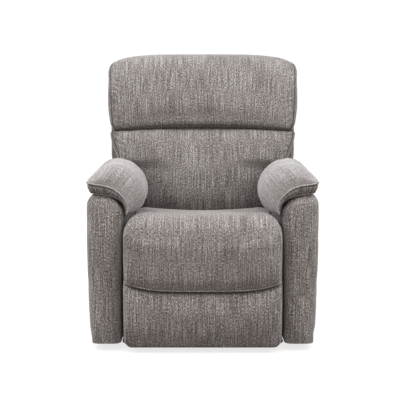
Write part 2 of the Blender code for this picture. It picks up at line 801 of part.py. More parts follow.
def back_cover(parent):
    """The rear shell: a tray that closes the back behind, narrow between the arms and full width above them."""
    stations = [0.0, 0.45, 0.66, 0.74, 0.90, 1.0]
    levels = [BACK_LOW, 0.10, BACK_SHOULDER, 0.245, 0.40, 0.53, BACK_TOP - 0.030, BACK_TOP - 0.014]
    bm = bmesh.new()
    grid = []
    for u in levels:
        half = BACK_NARROW if u < BACK_SHOULDER + 0.001 else HEAD_WIDE - 0.010
        row = []
        for share in stations:
            x = half * share
            drop = BACK_TOP - back_top_at(share) if u > BACK_TOP - 0.035 else 0.0
            v = COVER_REAR - 0.012 * share**4
            row.append(bm.verts.new((x, v, u - drop)))
        row.append(bm.verts.new((half, -UPRIGHT_HALF + 0.002, row[-1].co.z)))
        grid.append(row)
    for lower, upper in zip(grid, grid[1:]):
        for k in range(len(lower) - 1):
            bm.faces.new((lower[k], lower[k + 1], upper[k + 1], upper[k]))
    row = grid[-1]
    lip = [bm.verts.new((v.co.x, -UPRIGHT_HALF + 0.002, v.co.z)) for v in row[:-1]] + [row[-1]]
    for k in range(len(row) - 2):
        bm.faces.new((row[k], row[k + 1], lip[k + 1], lip[k]))
    bm.faces.new((row[-2], row[-1], lip[-2]))
    made = finish_mesh("back_cover", mesh_from(bm), FABRIC, None)
    made.parent = parent
    mirror = made.modifiers.new("halves", "MIRROR")
    mirror.merge_threshold = 1e-5
    shell = made.modifiers.new("board", "SOLIDIFY")
    shell.thickness = 0.004
    shell.offset = -1.0
    return made


def back_bracket(side_name, side, parent):
    made = plate(
        "back_bracket_" + side_name,
        side,
        LEAD_PLANE,
        [rounded([(0.0, 0.0), (0.006, 0.150), (-0.006, 0.150)], 0.012), circle((0.0, 0.0), HINGE_HOLE_RADIUS)],
        STEEL,
        None,
    )
    made.parent = parent


def back(seat_pivot):
    """Everything on the reclining back, in its own upright frame: x across, v rearwards, u up the back."""
    hinge = pivot("back_hinge", BACK_PIVOT, seat_pivot, -RAKE)
    for side_name, side in SIDES:
        back_bracket(side_name, side, hinge)
        low, high = sorted((side * (UPRIGHT_OUTER - 0.022), side * UPRIGHT_OUTER))
        block(
            "back_upright_" + side_name,
            (low, -UPRIGHT_HALF, 0.032),
            (high, UPRIGHT_HALF, 0.586),
            WOOD,
            hinge,
            bevel=0.002,
            local=True,
        )
    rail_near, rail_far = UPRIGHT_HALF + GAP, UPRIGHT_HALF + GAP + 0.016
    for name, half, low, high in (
        ("back_rail_bottom", 0.240, 0.036, 0.096),
        ("back_rail_middle", 0.345, 0.262, 0.318),
        ("back_rail_top", 0.345, 0.536, 0.584),
    ):
        block(name, (-half, rail_near, low), (half, rail_far, high), WOOD, hinge, bevel=0.002, local=True)
    stations = [0.0, 0.30, 0.52, 0.655, 0.695, 0.733, 0.80, 0.90, 0.97, 1.0]
    stations = [-s for s in reversed(stations[1:])] + stations
    loops = [[(LUMBAR_WIDE * s, v, u) for v, u in lumbar_section(LUMBAR_WIDE * s)] for s in stations]
    loft("lumbar_cushion", loops, FABRIC, hinge, local=True)
    stations = [-1.0, -0.97, -0.90, -0.75, -0.50, -0.25, 0.0, 0.25, 0.50, 0.75, 0.90, 0.97, 1.0]
    loops = [[(HEAD_WIDE * s, v, u) for v, u in head_section(HEAD_WIDE * s)] for s in stations]
    loft("head_cushion", loops, FABRIC, hinge, local=True)
    back_cover(hinge)


# ---------------------------------------------------------------- footrest
def footrest(seat_pivot):
    lead_step, extension_step = unit(LEAD_ANGLE), unit(EXTENSION_ANGLE)
    guide_place = LEAD_PIVOT + GUIDE_OFFSET * extension_step
    knee = LEAD_PIVOT + LEAD_LENGTH * lead_step
    guide_knee = guide_place + LEAD_LENGTH * lead_step
    heel = LEAD_PIVOT + (LEAD_LENGTH + CONTROL_OFFSET) * lead_step
    foot = knee + EXTENSION_LENGTH * extension_step
    toe = heel + EXTENSION_LENGTH * extension_step
    lead = pivot("lead_pivot", LEAD_PIVOT, seat_pivot)
    guide = pivot("guide_pivot", guide_place, seat_pivot)
    extension = pivot("extension_pivot", knee, lead)
    control = pivot("control_pivot", heel, lead)
    panel = pivot("footrest_pivot", foot, extension)
    for side_name, side in SIDES:
        made = link("lead_link_" + side_name, side, LEAD_PLANE, [LEAD_PIVOT, heel], [LEAD_PIVOT], lead)
        rivet(made, side, knee, LEAD_PLANE, LINK_PLANE)
        rivet(made, side, heel, LEAD_PLANE, LINK_PLANE)
        made = link("guide_link_" + side_name, side, LEAD_PLANE, [guide_place, guide_knee], [guide_place], guide)
        rivet(made, side, guide_knee, LEAD_PLANE, LINK_PLANE)
        holes = [knee, guide_knee, foot]
        link("extension_link_" + side_name, side, LINK_PLANE, [knee, foot], holes, extension)
        link("control_link_" + side_name, side, LINK_PLANE, [heel, toe], [heel, toe], control)
        footrest_bracket(side_name, side, foot, toe, panel)
    tube = LEAD_PIVOT + TORQUE_TUBE_AT * lead_step
    reach = LEAD_PLANE - GAP
    rod("torque_tube", (-reach, *tube), (reach, *tube), TORQUE_TUBE_RADIUS, STEEL, lead)
    footrest_panel(panel)


def footrest_bracket(side_name, side, foot, toe, parent):
    board_back = FOOT_BACK + BOARD_THICKNESS + 2 * GAP
    near = board_back + LINK_RADIUS + GAP
    corners = [(near, 0.100), toe, foot, (near, foot.y)]
    name = "footrest_bracket_" + side_name
    made = plate(name, side, LEAD_PLANE, [rounded(corners, LINK_RADIUS)], STEEL, parent)
    rivet(made, side, foot, LEAD_PLANE, LINK_PLANE)
    rivet(made, side, toe, LEAD_PLANE, LINK_PLANE)
    low, high = sorted((side * (LEAD_PLANE - 0.020), side * (LEAD_PLANE + PLATE / 2)))
    flange = block(
        name + "_flange",
        (low, board_back + GAP, 0.104),
        (high, board_back + GAP + PLATE, foot.y - 0.006),
        STEEL,
    )
    add_tool(made, flange, "UNION")


def footrest_panel(parent):
    """The plywood board and the pad in front of it; the pad's top edge follows the seat's hem."""
    board_front = FOOT_BACK + GAP
    block(
        "footrest_board",
        (-FOOT_HALF_WIDTH + 0.012, board_front, FOOT_BOTTOM + 0.016),
        (FOOT_HALF_WIDTH - 0.012, board_front + BOARD_THICKNESS, HEM_MIDDLE - HEM_GAP - 0.004),
        WOOD,
        parent,
        bevel=0.002,
    )
    stations = [-1.0, -0.97, -0.90, -0.75, -0.50, -0.25, 0.0, 0.25, 0.50, 0.75, 0.90, 0.97, 1.0]
    loops = []
    for share in stations:
        x = FOOT_HALF_WIDTH * share
        edge = ease((abs(share) - 0.85) / 0.15)
        front = FOOT_FRONT + 0.016 * edge**2
        low = FOOT_BOTTOM + 0.014 * edge**2
        high = hem_at(x) - HEM_GAP
        loop = [
            (FOOT_BACK, low + 0.006),
            (FOOT_BACK, high - 0.004),
            (FOOT_BACK - 0.010, high),
            (front + 0.014, high),
            (front + 0.003, high - 0.012),
            (front, (low + high) / 2),
            (front + 0.003, low + 0.016),
            (front + 0.014, low),
            (FOOT_BACK - 0.012, low),
        ]
        loops.append([(x, y, z) for y, z in loop])
    loft("footrest_pad", loops, FABRIC, parent)


base()
arms()
release()
swing_pivots = swing_links()
seat_hinge = seat(swing_pivots["front"])
back(seat_hinge)
footrest(seat_hinge)
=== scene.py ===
"""Recliner armchair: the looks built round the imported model.

Every soft piece is made of cloth panels, in metres and in the frame of the CAD model. A panel is a grid of
points, and each point keeps its place on the flat cloth, so the weave follows the panel however it bends.
"""

import json
import math
from typing import NamedTuple

import bmesh
import bpy
import numpy as np
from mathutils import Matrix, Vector


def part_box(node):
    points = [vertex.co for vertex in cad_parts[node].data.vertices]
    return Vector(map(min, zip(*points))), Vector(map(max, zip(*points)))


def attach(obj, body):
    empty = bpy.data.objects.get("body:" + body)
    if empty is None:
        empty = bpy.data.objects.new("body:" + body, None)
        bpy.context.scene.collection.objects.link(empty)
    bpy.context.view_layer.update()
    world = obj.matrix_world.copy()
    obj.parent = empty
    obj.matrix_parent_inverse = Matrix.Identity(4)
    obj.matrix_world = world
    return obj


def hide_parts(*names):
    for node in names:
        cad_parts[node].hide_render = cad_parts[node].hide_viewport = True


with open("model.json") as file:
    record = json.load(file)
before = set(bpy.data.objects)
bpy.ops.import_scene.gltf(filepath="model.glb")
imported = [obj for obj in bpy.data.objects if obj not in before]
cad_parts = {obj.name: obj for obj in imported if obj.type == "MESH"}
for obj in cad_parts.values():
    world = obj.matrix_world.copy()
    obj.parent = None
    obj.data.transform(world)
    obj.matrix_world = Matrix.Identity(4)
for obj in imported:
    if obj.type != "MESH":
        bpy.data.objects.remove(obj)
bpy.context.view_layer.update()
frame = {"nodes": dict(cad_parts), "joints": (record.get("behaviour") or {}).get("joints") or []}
JOINTS = {j["name"]: j for j in frame["joints"]}
CLOTH, PIN, PUCKER = "cloth", "pin", "pucker"
SIDES = (("left", -1), ("right", 1))


# ---------------- node helpers
def new_material(name, **values):
    """A material and its node tree, with constants set on the Principled shader's own sockets."""
    made = bpy.data.materials.new(name)
    made.use_nodes = True
    tree = made.node_tree
    shader = tree.nodes["Principled BSDF"]
    for key, value in values.items():
        socket = shader.inputs[key.replace("_", " ").title() if key != "IOR" else key]
        socket.default_value = (*value, 1.0) if isinstance(value, tuple) else value
    return made, tree, shader


def node(tree, kind, inputs=None, **settings):
    made = tree.nodes.new(kind)
    for key, value in settings.items():
        setattr(made, key, value)
    for key, value in (inputs or {}).items():
        socket = made.inputs[key]
        if isinstance(value, bpy.types.NodeSocket):
            tree.links.new(value, socket)
        else:
            socket.default_value = value
    return made


def math_node(tree, operation, a, b=0.0):
    return node(tree, "ShaderNodeMath", {0: a, 1: b}, operation=operation).outputs[0]


def scaled(tree, value, factor, offset=0.0):
    product = math_node(tree, "MULTIPLY", value, factor)
    return math_node(tree, "ADD", product, offset) if offset else product


def ramp(tree, value, stops):
    made = node(tree, "ShaderNodeValToRGB", {"Fac": value})
    elements = made.color_ramp.elements
    while len(elements) < len(stops):
        elements.new(0.5)
    for element, (place, colour) in zip(elements, stops):
        element.position = place
        element.color = (*colour, 1.0)
    return made.outputs["Color"]


def noise(tree, vector, scale, detail=2.0, roughness=0.5):
    inputs = {"Vector": vector, "Scale": scale, "Detail": detail, "Roughness": roughness}
    return node(tree, "ShaderNodeTexNoise", inputs, noise_dimensions="3D").outputs["Fac"]


def stretched(tree, vector, factors):
    return node(tree, "ShaderNodeVectorMath", {0: vector, 1: factors}, operation="MULTIPLY").outputs[0]


def object_vector(tree, scale=(1.0, 1.0, 1.0)):
    """Where a point of a CAD node lies at rest, in metres, times the scale."""
    return stretched(tree, node(tree, "ShaderNodeTexCoord").outputs["Object"], scale)


def bumped(tree, shader, height, strength, distance):
    bump = node(tree, "ShaderNodeBump", {"Height": height, "Strength": strength, "Distance": distance})
    tree.links.new(bump.outputs[0], shader.inputs["Normal"])


# ---------------- fabric
YARNS = ((0.034, 0.027, 0.023), (0.126, 0.112, 0.105), (0.350, 0.338, 0.330))
MIDDLE_TONE, DARK_SPREAD, LIGHT_SPREAD = 0.51, 0.098, 0.115
RIB_PITCH = 0.0034

# Each layer of the melange: its frequencies across and along the cloth and from panel to panel, its detail,
# its roughness and its share of the tone.
MELANGE = {
    "streaks": ((290.0, 10.0, 60.0), 2.0, 0.6, 0.27),
    "slubs": ((320.0, 150.0, 60.0), 1.0, 0.5, 0.33),
    "knots": ((240.0, 210.0, 90.0), 0.0, 0.5, 0.10),
    "fibres": ((620.0, 520.0, 60.0), 2.0, 0.6, 0.24),
    "patches": ((11.0, 4.0, 30.0), 2.0, 0.5, 0.06),
}


def cloth_vector(tree, wrapped):
    """A point's place on its cloth: the panel's own or, wrapped round a board, its place at rest."""
    if not wrapped:
        return node(tree, "ShaderNodeAttribute", attribute_name=CLOTH).outputs["Vector"]
    place = node(tree, "ShaderNodeSeparateXYZ", {0: object_vector(tree)}).outputs
    return node(tree, "ShaderNodeCombineXYZ", {0: place[0], 1: place[2], 2: place[1]}).outputs[0]


def chenille(name, painted_light_scale=(1.0, 1.0, 1.0), contrast=1.0, wrapped=False):
    """Grey melange chenille: long vertical slubs of lighter and darker yarn over a ribbed, fuzzy weave."""
    made, tree, shader = new_material(name, roughness=0.93, sheen_weight=0.22, sheen_roughness=0.45)
    shader.inputs["Specular IOR Level"].default_value = 0.18
    cloth = cloth_vector(tree, wrapped)
    layers = {}
    tone = 0.0
    for layer, (frequencies, detail, roughness, share) in MELANGE.items():
        layers[layer] = noise(tree, stretched(tree, cloth, frequencies), 1.0, detail, roughness)
        tone = math_node(tree, "ADD", tone, scaled(tree, layers[layer], share))
    places = (MIDDLE_TONE - DARK_SPREAD / contrast, MIDDLE_TONE, MIDDLE_TONE + LIGHT_SPREAD / contrast)
    # painted_light_scale lightens or darkens the yarn colours of a copy of the fabric: painted light and
    # shade, not lamps.
    colours = [tuple(c * k for c, k in zip(yarn, painted_light_scale)) for yarn in YARNS]
    tree.links.new(ramp(tree, tone, list(zip(places, colours))), shader.inputs["Base Color"])
    across = node(tree, "ShaderNodeSeparateXYZ", {0: cloth}).outputs[0]
    wobble = noise(tree, stretched(tree, cloth, (40.0, 25.0, 20.0)), 1.0, 1.0)
    across = math_node(tree, "ADD", across, scaled(tree, wobble, 0.002))
    height = scaled(tree, math_node(tree, "SINE", scaled(tree, across, 2 * math.pi / RIB_PITCH)), 0.25)
    height = math_node(tree, "ADD", height, scaled(tree, layers["slubs"], 1.3))
    height = math_node(tree, "ADD", height, scaled(tree, layers["fibres"], 0.5))
    bumped(tree, shader, height, 0.42, 0.0012)
    return made


def painted_steel(name, colour, wear):
    """Black satin powder coat: fine orange peel, dust in broad patches, and rubbed spots."""
    made, tree, shader = new_material(name, metallic=0.15)
    shader.inputs["Specular IOR Level"].default_value = 0.45
    place = object_vector(tree)
    broad = noise(tree, place, 14.0, 3.0)
    peel = noise(tree, place, 620.0, 2.0)
    dark, light = tuple(0.75 * c for c in colour), tuple(1.5 * c for c in colour)
    tree.links.new(ramp(tree, broad, [(0.35, dark), (0.66, light)]), shader.inputs["Base Color"])
    tree.links.new(scaled(tree, broad, wear, 0.30), shader.inputs["Roughness"])
    bumped(tree, shader, peel, 0.25, 0.0003)
    return made


def drawn_wire():
    """Bright spring wire with scratches along it."""
    made, tree, shader = new_material("drawn_wire", metallic=0.9)
    scratches = noise(tree, object_vector(tree, (900.0, 60.0, 900.0)), 1.0, 2.0)
    stops = [(0.35, (0.26, 0.26, 0.27)), (0.7, (0.46, 0.46, 0.47))]
    tree.links.new(ramp(tree, scratches, stops), shader.inputs["Base Color"])
    tree.links.new(scaled(tree, scratches, 0.3, 0.2), shader.inputs["Roughness"])
    bumped(tree, shader, scratches, 0.2, 0.0002)
    return made


def plywood():
    """Raw sheet: long wavy grain and darker pores."""
    made, tree, shader = new_material("raw_plywood", roughness=0.72)
    grain = noise(tree, object_vector(tree, (160.0, 120.0, 9.0)), 1.0, 4.0, 0.6)
    figure = noise(tree, object_vector(tree, (22.0, 22.0, 3.0)), 1.0, 2.0)
    total = math_node(tree, "ADD", scaled(tree, grain, 0.6), scaled(tree, figure, 0.4))
    stops = [(0.34, (0.28, 0.17, 0.085)), (0.50, (0.46, 0.31, 0.17)), (0.66, (0.60, 0.44, 0.27))]
    tree.links.new(ramp(tree, total, stops), shader.inputs["Base Color"])
    bumped(tree, shader, grain, 0.3, 0.0005)
    return made


def moulded_plastic(name, colour, grain):
    """Dark plastic with a fine grain, of the given frequency per metre."""
    made, tree, shader = new_material(name, base_color=colour)
    pits = noise(tree, object_vector(tree), grain, 2.0)
    tree.links.new(scaled(tree, pits, 0.2, 0.38), shader.inputs["Roughness"])
    bumped(tree, shader, pits, 0.35, 0.0003)
    return made


FABRIC = chenille("chenille")
# A copy of the fabric lightened, cooled and with less contrast, for the pads' tops: painted light.
PAINTED_LIGHT_PAD_CLOTH = chenille("chenille_painted_light_pads", (1.38, 1.44, 1.49), 0.54)
# A copy of the fabric a little darker, painted shade, and with less contrast.
PAINTED_SHADE_SEAT_CLOTH = chenille("chenille_painted_shade_seat", (0.985, 0.985, 0.985), 0.88)
# A copy of the fabric at three tenths of its brightness, for seams and creases: painted shade.
PAINTED_SHADE_LINE_CLOTH = chenille("chenille_painted_shade_lines", (0.30, 0.30, 0.30))
PLASTIC = moulded_plastic("plastic_look", (0.028, 0.028, 0.030), 900.0)

# Each look of the bare nodes, with how the names of its nodes begin. Where two fit, the later one holds.
HARDWARE = {
    painted_steel("frame_steel_look", (0.045, 0.045, 0.050), 0.30): (
        "base_rail",
        "base_tube",
        "base_bracket",
        "back_bracket",
    ),
    painted_steel("link_steel_look", (0.085, 0.085, 0.090), 0.22): (
        "swing_link",
        "seat_plate",
        "lead_link",
        "guide_link",
    ),
    painted_steel("link_paint_look", (0.075, 0.075, 0.080), 0.25): (
        "extension_link",
        "control_link",
        "torque_tube",
        "footrest_bracket",
    ),
    drawn_wire(): ("seat_springs",),
    plywood(): ("arm_inner_board", "arm_outer_board", "seat_rail"),
    chenille("chenille_on_boards", wrapped=True): (
        "footrest_board",
        "seat_rail_rear",
        "back_upright",
        "back_rail",
    ),
    PLASTIC: ("glide", "release_cup", "release_paddle"),
    moulded_plastic("cable_sheath_look", (0.018, 0.018, 0.018), 1500.0): ("release_cable",),
}


def dress_hardware():
    """The CAD nodes that stay in sight get their own looks."""
    for look, beginnings in HARDWARE.items():
        for name in frame["nodes"]:
            if name.startswith(beginnings):
                mesh = bpy.data.objects[name].data
                mesh.materials.clear()
                mesh.materials.append(look)


# ---------------- shapes
def ease(value):
    """0 to 1 in a soft S, and flat beyond both ends."""
    value = np.clip(value, 0.0, 1.0)
    return value * value * (3 - 2 * value)


def run_of(line):
    """How far along the line each of its points lies."""
    return np.r_[0, np.cumsum(np.linalg.norm(np.diff(line, axis=0), axis=1))]


def smooth_line(points, count, closed=False):
    """count points at equal steps along a Catmull-Rom curve through the given ones."""
    points = np.asarray(points, float)
    if closed:
        knots = np.vstack([points[-1], points, points[0], points[1]])
    else:
        knots = np.vstack([2 * points[0] - points[1], points, 2 * points[-1] - points[-2]])
    fine = []
    steps = np.linspace(0, 1, 24, endpoint=False)[:, None]
    for a, b, c, d in zip(knots, knots[1:], knots[2:], knots[3:]):
        curve = 2 * b + (c - a) * steps + (2 * a - 5 * b + 4 * c - d) * steps**2
        fine.append((curve + (3 * b - a - 3 * c + d) * steps**3) / 2)
    fine.append(knots[-2][None])
    fine = np.vstack(fine)
    lengths = run_of(fine)
    wanted = np.linspace(0, lengths[-1], count + 1)[:-1] if closed else np.linspace(0, lengths[-1], count)
    return np.column_stack([np.interp(wanted, lengths, fine[:, k]) for k in range(points.shape[1])])


def curve_at(value, table):
    """A smooth curve through (value, result) pairs, read at the given values."""
    places, results = np.asarray(table, float).T
    fine = smooth_line(np.column_stack([places, results]), 240)
    return np.interp(value, fine[:, 0], fine[:, 1])


def arc_lengths(rows, axis):
    """Distance along each grid line in the given direction."""
    lengths = np.cumsum(np.linalg.norm(np.diff(rows, axis=axis), axis=2), axis=axis)
    return np.pad(lengths, [(1, 0), (0, 0)] if axis == 0 else [(0, 0), (1, 0)])


def end_weighted(count):
    """-1 to 1 in steps that shorten towards both ends."""
    even = np.linspace(-1, 1, count)
    return even * (1.3 - 0.3 * even**2)


class Panel(NamedTuple):
    """One panel of a soft piece: a grid of points, and what each of them carries."""

    points: np.ndarray  # rows by columns by 3
    cloth: np.ndarray  # the points' places on the flat cloth, in the same shape
    wrap: bool  # whether each row closes on itself
    inside: tuple  # a point inside the form
    pin: object = 1.0  # how firmly the points are held while the cloth is simulated
    pucker: object = 0.0  # how far they move after that
    material: int = 0  # which of the piece's materials the panel has


def cloth_object(name, panels, *materials):
    """One mesh of several panels, which meet along their seams."""
    bm = bmesh.new()
    store = bm.verts.layers.float_vector.new(CLOTH)
    held = bm.verts.layers.float.new(PIN)
    drawn = bm.verts.layers.float_vector.new(PUCKER)
    for panel in panels:
        points, cloth = np.asarray(panel.points, float), np.asarray(panel.cloth, float)
        pins = np.broadcast_to(panel.pin, points.shape[:2]).reshape(-1)
        puckers = np.broadcast_to(panel.pucker, points.shape).reshape(-1, 3)
        rows, columns, _ = points.shape
        made = []
        for point, coordinate, hold, draw in zip(points.reshape(-1, 3), cloth.reshape(-1, 3), pins, puckers):
            vert = bm.verts.new(point.tolist())
            vert[store] = coordinate.tolist()
            vert[held] = float(hold)
            vert[drawn] = draw.tolist()
            made.append(vert)
        faces = []
        for r in range(rows - 1):
            for c in range(columns if panel.wrap else columns - 1):
                here, following = r * columns + c, r * columns + (c + 1) % columns
                corners = (here, following, following + columns, here + columns)
                faces.append(bm.faces.new([made[k] for k in corners]))
                faces[-1].material_index = panel.material
        bm.normal_update()
        inside = Vector(panel.inside)
        facing = sum(f.normal.dot(f.calc_center_median() - inside) * f.calc_area() for f in faces)
        if facing < 0:
            bmesh.ops.reverse_faces(bm, faces=faces)
        bmesh.ops.remove_doubles(bm, verts=made, dist=2e-5)
    bmesh.ops.dissolve_degenerate(bm, edges=bm.edges, dist=1e-6)
    for face in bm.faces:
        face.smooth = True
    mesh = bpy.data.meshes.new(name)
    bm.to_mesh(mesh)
    bm.free()
    for material in materials or (FABRIC,):
        mesh.materials.append(material)
    made = bpy.data.objects.new(name, mesh)
    bpy.context.scene.collection.objects.link(made)
    return made


def edit_mesh(made, change):
    bm = bmesh.new()
    bm.from_mesh(made.data)
    change(bm)
    bm.to_mesh(made.data)
    bm.free()


def rides(piece, body, replaced=()):
    """Fixes a piece to its body and hides the CAD nodes it replaces."""
    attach(piece, body)
    if replaced:
        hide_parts(*replaced)


TUBE_SIDES = 8


def welt(name, path, radius, body, material=FABRIC):
    """A tube of fabric with rounded ends, swept along a path."""
    path = np.asarray(path, float)
    tangent = np.gradient(path, axis=0)
    tangent /= np.linalg.norm(tangent, axis=1)[:, None]
    normal = np.cross(tangent[0], [0.31, 0.17, 0.94])
    normals = []
    for step in tangent:
        normal = normal - step * np.dot(normal, step)
        normal /= np.linalg.norm(normal)
        normals.append(normal)
    normals = np.array(normals)
    other = np.cross(tangent, normals)
    ends = np.array([0.05, 0.75])
    sizes = np.r_[radius * ends, np.full(len(path) - 2, radius), radius * ends[::-1]]
    centres = np.vstack([path[0], path[0] + tangent[0] * radius * 0.3, path[1:-1]])
    centres = np.vstack([centres, path[-1] - tangent[-1] * radius * 0.3, path[-1]])
    normals = np.vstack([normals[0], normals, normals[-1]])
    other = np.vstack([other[0], other, other[-1]])
    turn = np.linspace(0, 2 * np.pi, TUBE_SIDES, endpoint=False)
    offsets = np.cos(turn)[None, :, None] * normals[:, None] + np.sin(turn)[None, :, None] * other[:, None]
    grid = centres[:, None] + offsets * sizes[:, None, None]
    lengths = run_of(centres)
    cloth = np.zeros(grid.shape)
    cloth[..., 0] = lengths[:, None] * 0.8
    cloth[..., 1] = (turn * radius)[None, :] + lengths[:, None] * 0.6
    cloth[..., 2] = 0.7
    made = cloth_object(name, [Panel(grid, cloth, True, path.mean(axis=0))], material)
    edit_mesh(made, lambda bm: bmesh.ops.recalc_face_normals(bm, faces=bm.faces))
    rides(made, body)


SIDE_STEPS = 7


def side_panel(edge, side, bulge, slim, place, seed, held, inside):
    """A cushion's end: rings that shrink from the seam line to its middle and bulge outwards."""
    middle_v = (edge[:, 1].min() + edge[:, 1].max()) / 2
    middle_u = edge[:, 2].mean()
    rings = []
    for step in np.linspace(0, 1, SIDE_STEPS) ** 1.4:
        ring = edge.copy()
        ring[:, 0] = edge[:, 0] + side * bulge * math.sin(min(1.0, step * 2.5) * math.pi / 2) ** 0.7
        ring[:, 1] = middle_v + (edge[:, 1] - middle_v) * (1 - step)
        ring[:, 2] = middle_u + (edge[:, 2] - middle_u) * (1 - slim * step)
        rings.append(ring)
    x, v, u = np.moveaxis(np.array(rings), -1, 0)
    pins = np.repeat(held(edge[:, 1], edge[:, 2])[None].astype(float), SIDE_STEPS, axis=0)
    pins[0] = 1.0
    cloth = np.stack([v, u, np.full(x.shape, seed + 0.2 * side)], axis=-1)
    return Panel(place(x, v, u), cloth, True, inside, pins)


def boxed(ring_at, half_at, stations, bulge, place, seed, held, slim=0.12, groove=0.0, puckers=None):
    """A cushion's panels (its wrapped face and two sides), its two seam lines and the points of its face.

    ring_at(share) is the closed section there, as (back, up) pairs, and half_at(back, up) half the width.
    place turns (x, back, up) into the frame. held(back, up) says how firmly the points are held. bulge is how
    far the sides stand out, slim how much they narrow and groove how deep the seams are drawn in.
    puckers(x, back, up, gap) is how far the face is gathered at the distance gap from a seam.
    """
    rings = []
    for share in end_weighted(stations):
        section = ring_at(share)
        rings.append(np.column_stack([share * half_at(section[:, 0], section[:, 1]), section]))
    rings = np.array(rings)
    rings[0, :, 0] += groove
    rings[-1, :, 0] -= groove
    rings[[0, -1], :, 1] += groove * 1.2 * (rings[[0, -1], :, 1] < rings[..., 1].mean())
    x, v, u = np.moveaxis(rings, -1, 0)
    grid = place(x, v, u)
    cloth = np.stack([x, arc_lengths(grid, 1), np.full(x.shape, seed)], axis=-1)
    inside = grid.reshape(-1, 3).mean(axis=0)
    pins = held(v, u).astype(float)
    pins[[0, -1]] = 1.0
    draws = np.zeros(grid.shape)
    if puckers:
        depth = puckers(x, v, u, np.abs(x[[0, -1]]).min(axis=0)[None] - np.abs(x))
        draws = place(0 * depth, depth, 0 * depth) - place(0 * depth, 0 * depth, 0 * depth)
    panels = [Panel(grid, cloth, True, inside, pins, draws)]
    for side, edge in ((-1, rings[0]), (1, rings[-1])):
        panels.append(side_panel(edge, side, bulge, slim, place, seed, held, inside))
    return panels, [panel.points[0] for panel in panels[1:]], grid


SIMULATED = []
LAST_FRAME = 20


def stuffed(piece, cap, pressure=4.0, slack=0.012, evened=0):
    """Marks a cushion for the cloth simulation.

    cap is how far it may move, slack how much larger its fabric is cut than its form, and evened how many
    times its movement is averaged, which takes out sharp creases.
    """
    SIMULATED.append((piece, cap, pressure, slack, evened))


def read(collection, key, width=1, kind=float):
    """The values of every element of a mesh's vertices, edges or attribute, in one line."""
    values = np.zeros(len(collection) * width, dtype=kind)
    collection.foreach_get(key, values)
    return values


def add_cloth(piece, pressure, slack):
    """The modifier that blows a piece up like a cushion, and the group of points that it can't move."""
    group = piece.vertex_groups.new(name=PIN)
    fixed = read(piece.data.attributes[PIN].data, "value") > 0.98
    group.add(np.flatnonzero(fixed).tolist(), 1.0, "REPLACE")
    cloth = piece.modifiers.new("padding", "CLOTH")
    settings = cloth.settings
    settings.quality = 6
    settings.mass = 0.3
    settings.tension_stiffness = settings.compression_stiffness = 14
    settings.shear_stiffness = 6
    settings.bending_stiffness = 0.35
    settings.tension_damping = settings.compression_damping = settings.shear_damping = 8
    settings.use_pressure = True
    settings.uniform_pressure_force = pressure
    settings.shrink_min = -slack
    settings.effector_weights.gravity = 0
    settings.vertex_group_mass = PIN
    cloth.collision_settings.use_collision = False
    cloth.collision_settings.use_self_collision = False
    cloth.point_cache.frame_start, cloth.point_cache.frame_end = 1, LAST_FRAME


def averaged(moved, mesh, times):
    """The movement of each point, drawn towards its neighbours' so many times."""
    ends = read(mesh.edges, "vertices", 2, np.int32).reshape(-1, 2)
    neighbours = np.maximum(np.bincount(ends.ravel(), minlength=len(moved)), 1)[:, None]
    for _ in range(times):
        around = np.zeros_like(moved)
        np.add.at(around, ends[:, 0], moved[ends[:, 1]])
        np.add.at(around, ends[:, 1], moved[ends[:, 0]])
        moved = (moved + around / neighbours) / 2
    return moved


def settled(piece, graph, cap, evened):
    """Where the piece's points end up: the simulated movement, softly capped and less where they are held."""
    start = read(piece.data.vertices, "co", 3)
    end = read(piece.evaluated_get(graph).data.vertices, "co", 3)
    moved = averaged((end - start).reshape(-1, 3), piece.data, evened)
    length = np.maximum(np.linalg.norm(moved, axis=1), 1e-9)
    free = 1 - read(piece.data.attributes[PIN].data, "value")
    moved *= (cap * np.tanh(length / cap) / length * free)[:, None]
    return (start.reshape(-1, 3) + moved).reshape(-1)


def simulate():
    """Blows the marked cushions up against their held seams, all in one run, and keeps the folds."""
    scene = bpy.context.scene
    for piece, _, pressure, slack, _ in SIMULATED:
        add_cloth(piece, pressure, slack)
    for step in range(1, LAST_FRAME + 1):
        scene.frame_set(step)
    graph = bpy.context.evaluated_depsgraph_get()
    results = [settled(piece, graph, cap, evened) for piece, cap, _, _, evened in SIMULATED]
    scene.frame_set(1)
    for (piece, *_), result in zip(SIMULATED, results):
        piece.modifiers.remove(piece.modifiers["padding"])
        piece.vertex_groups.clear()
        piece.data.vertices.foreach_set("co", result)
        piece.data.update()
    for piece, *_ in SIMULATED:
        draws = read(piece.data.attributes[PUCKER].data, "vector", 3)
        piece.data.vertices.foreach_set("co", read(piece.data.vertices, "co", 3) + draws)
        for layer in (PIN, PUCKER):
            piece.data.attributes.remove(piece.data.attributes[layer])
        piece.data.update()
        step = piece.modifiers.new("smooth", "SUBSURF")
        step.levels = step.render_levels = 1


# ---------------- the back
HINGE = JOINTS["back_recline"]["pos_m"]
RAKE = math.radians(13)


def back_to_frame(x, v, u):
    """x across, v rearwards and u up the leaning back, from its hinge, to the frame."""
    y = HINGE[1] + v * math.cos(RAKE) + u * math.sin(RAKE)
    z = HINGE[2] + u * math.cos(RAKE) - v * math.sin(RAKE)
    return np.stack([x, y, z], axis=-1)


HEAD_LOW, HEAD_HIGH, HEAD_ARCH, ARCH_POWER = 0.3125, 0.637, 0.100, 4.4
CUSHION_REAR, CUSHION_BASE = -0.0195, -0.020

# The cushions' fronts: how far each point stands out from the base, and its share of the height.
HEAD_FRONT = [(0.147, 0.0), (0.160, 0.014), (0.1665, 0.055), (0.170, 0.17), (0.169, 0.38), (0.162, 0.60)]
HEAD_FRONT += [(0.144, 0.79), (0.113, 0.915), (0.075, 0.982)]
LUMBAR_FRONT = [(0.070, 0.0), (0.098, 0.012), (0.114, 0.06), (0.130, 0.16), (0.145, 0.31), (0.155, 0.47)]
LUMBAR_FRONT += [(0.157, 0.63), (0.154, 0.78), (0.149, 0.90), (0.141, 0.967), (0.122, 1.0)]

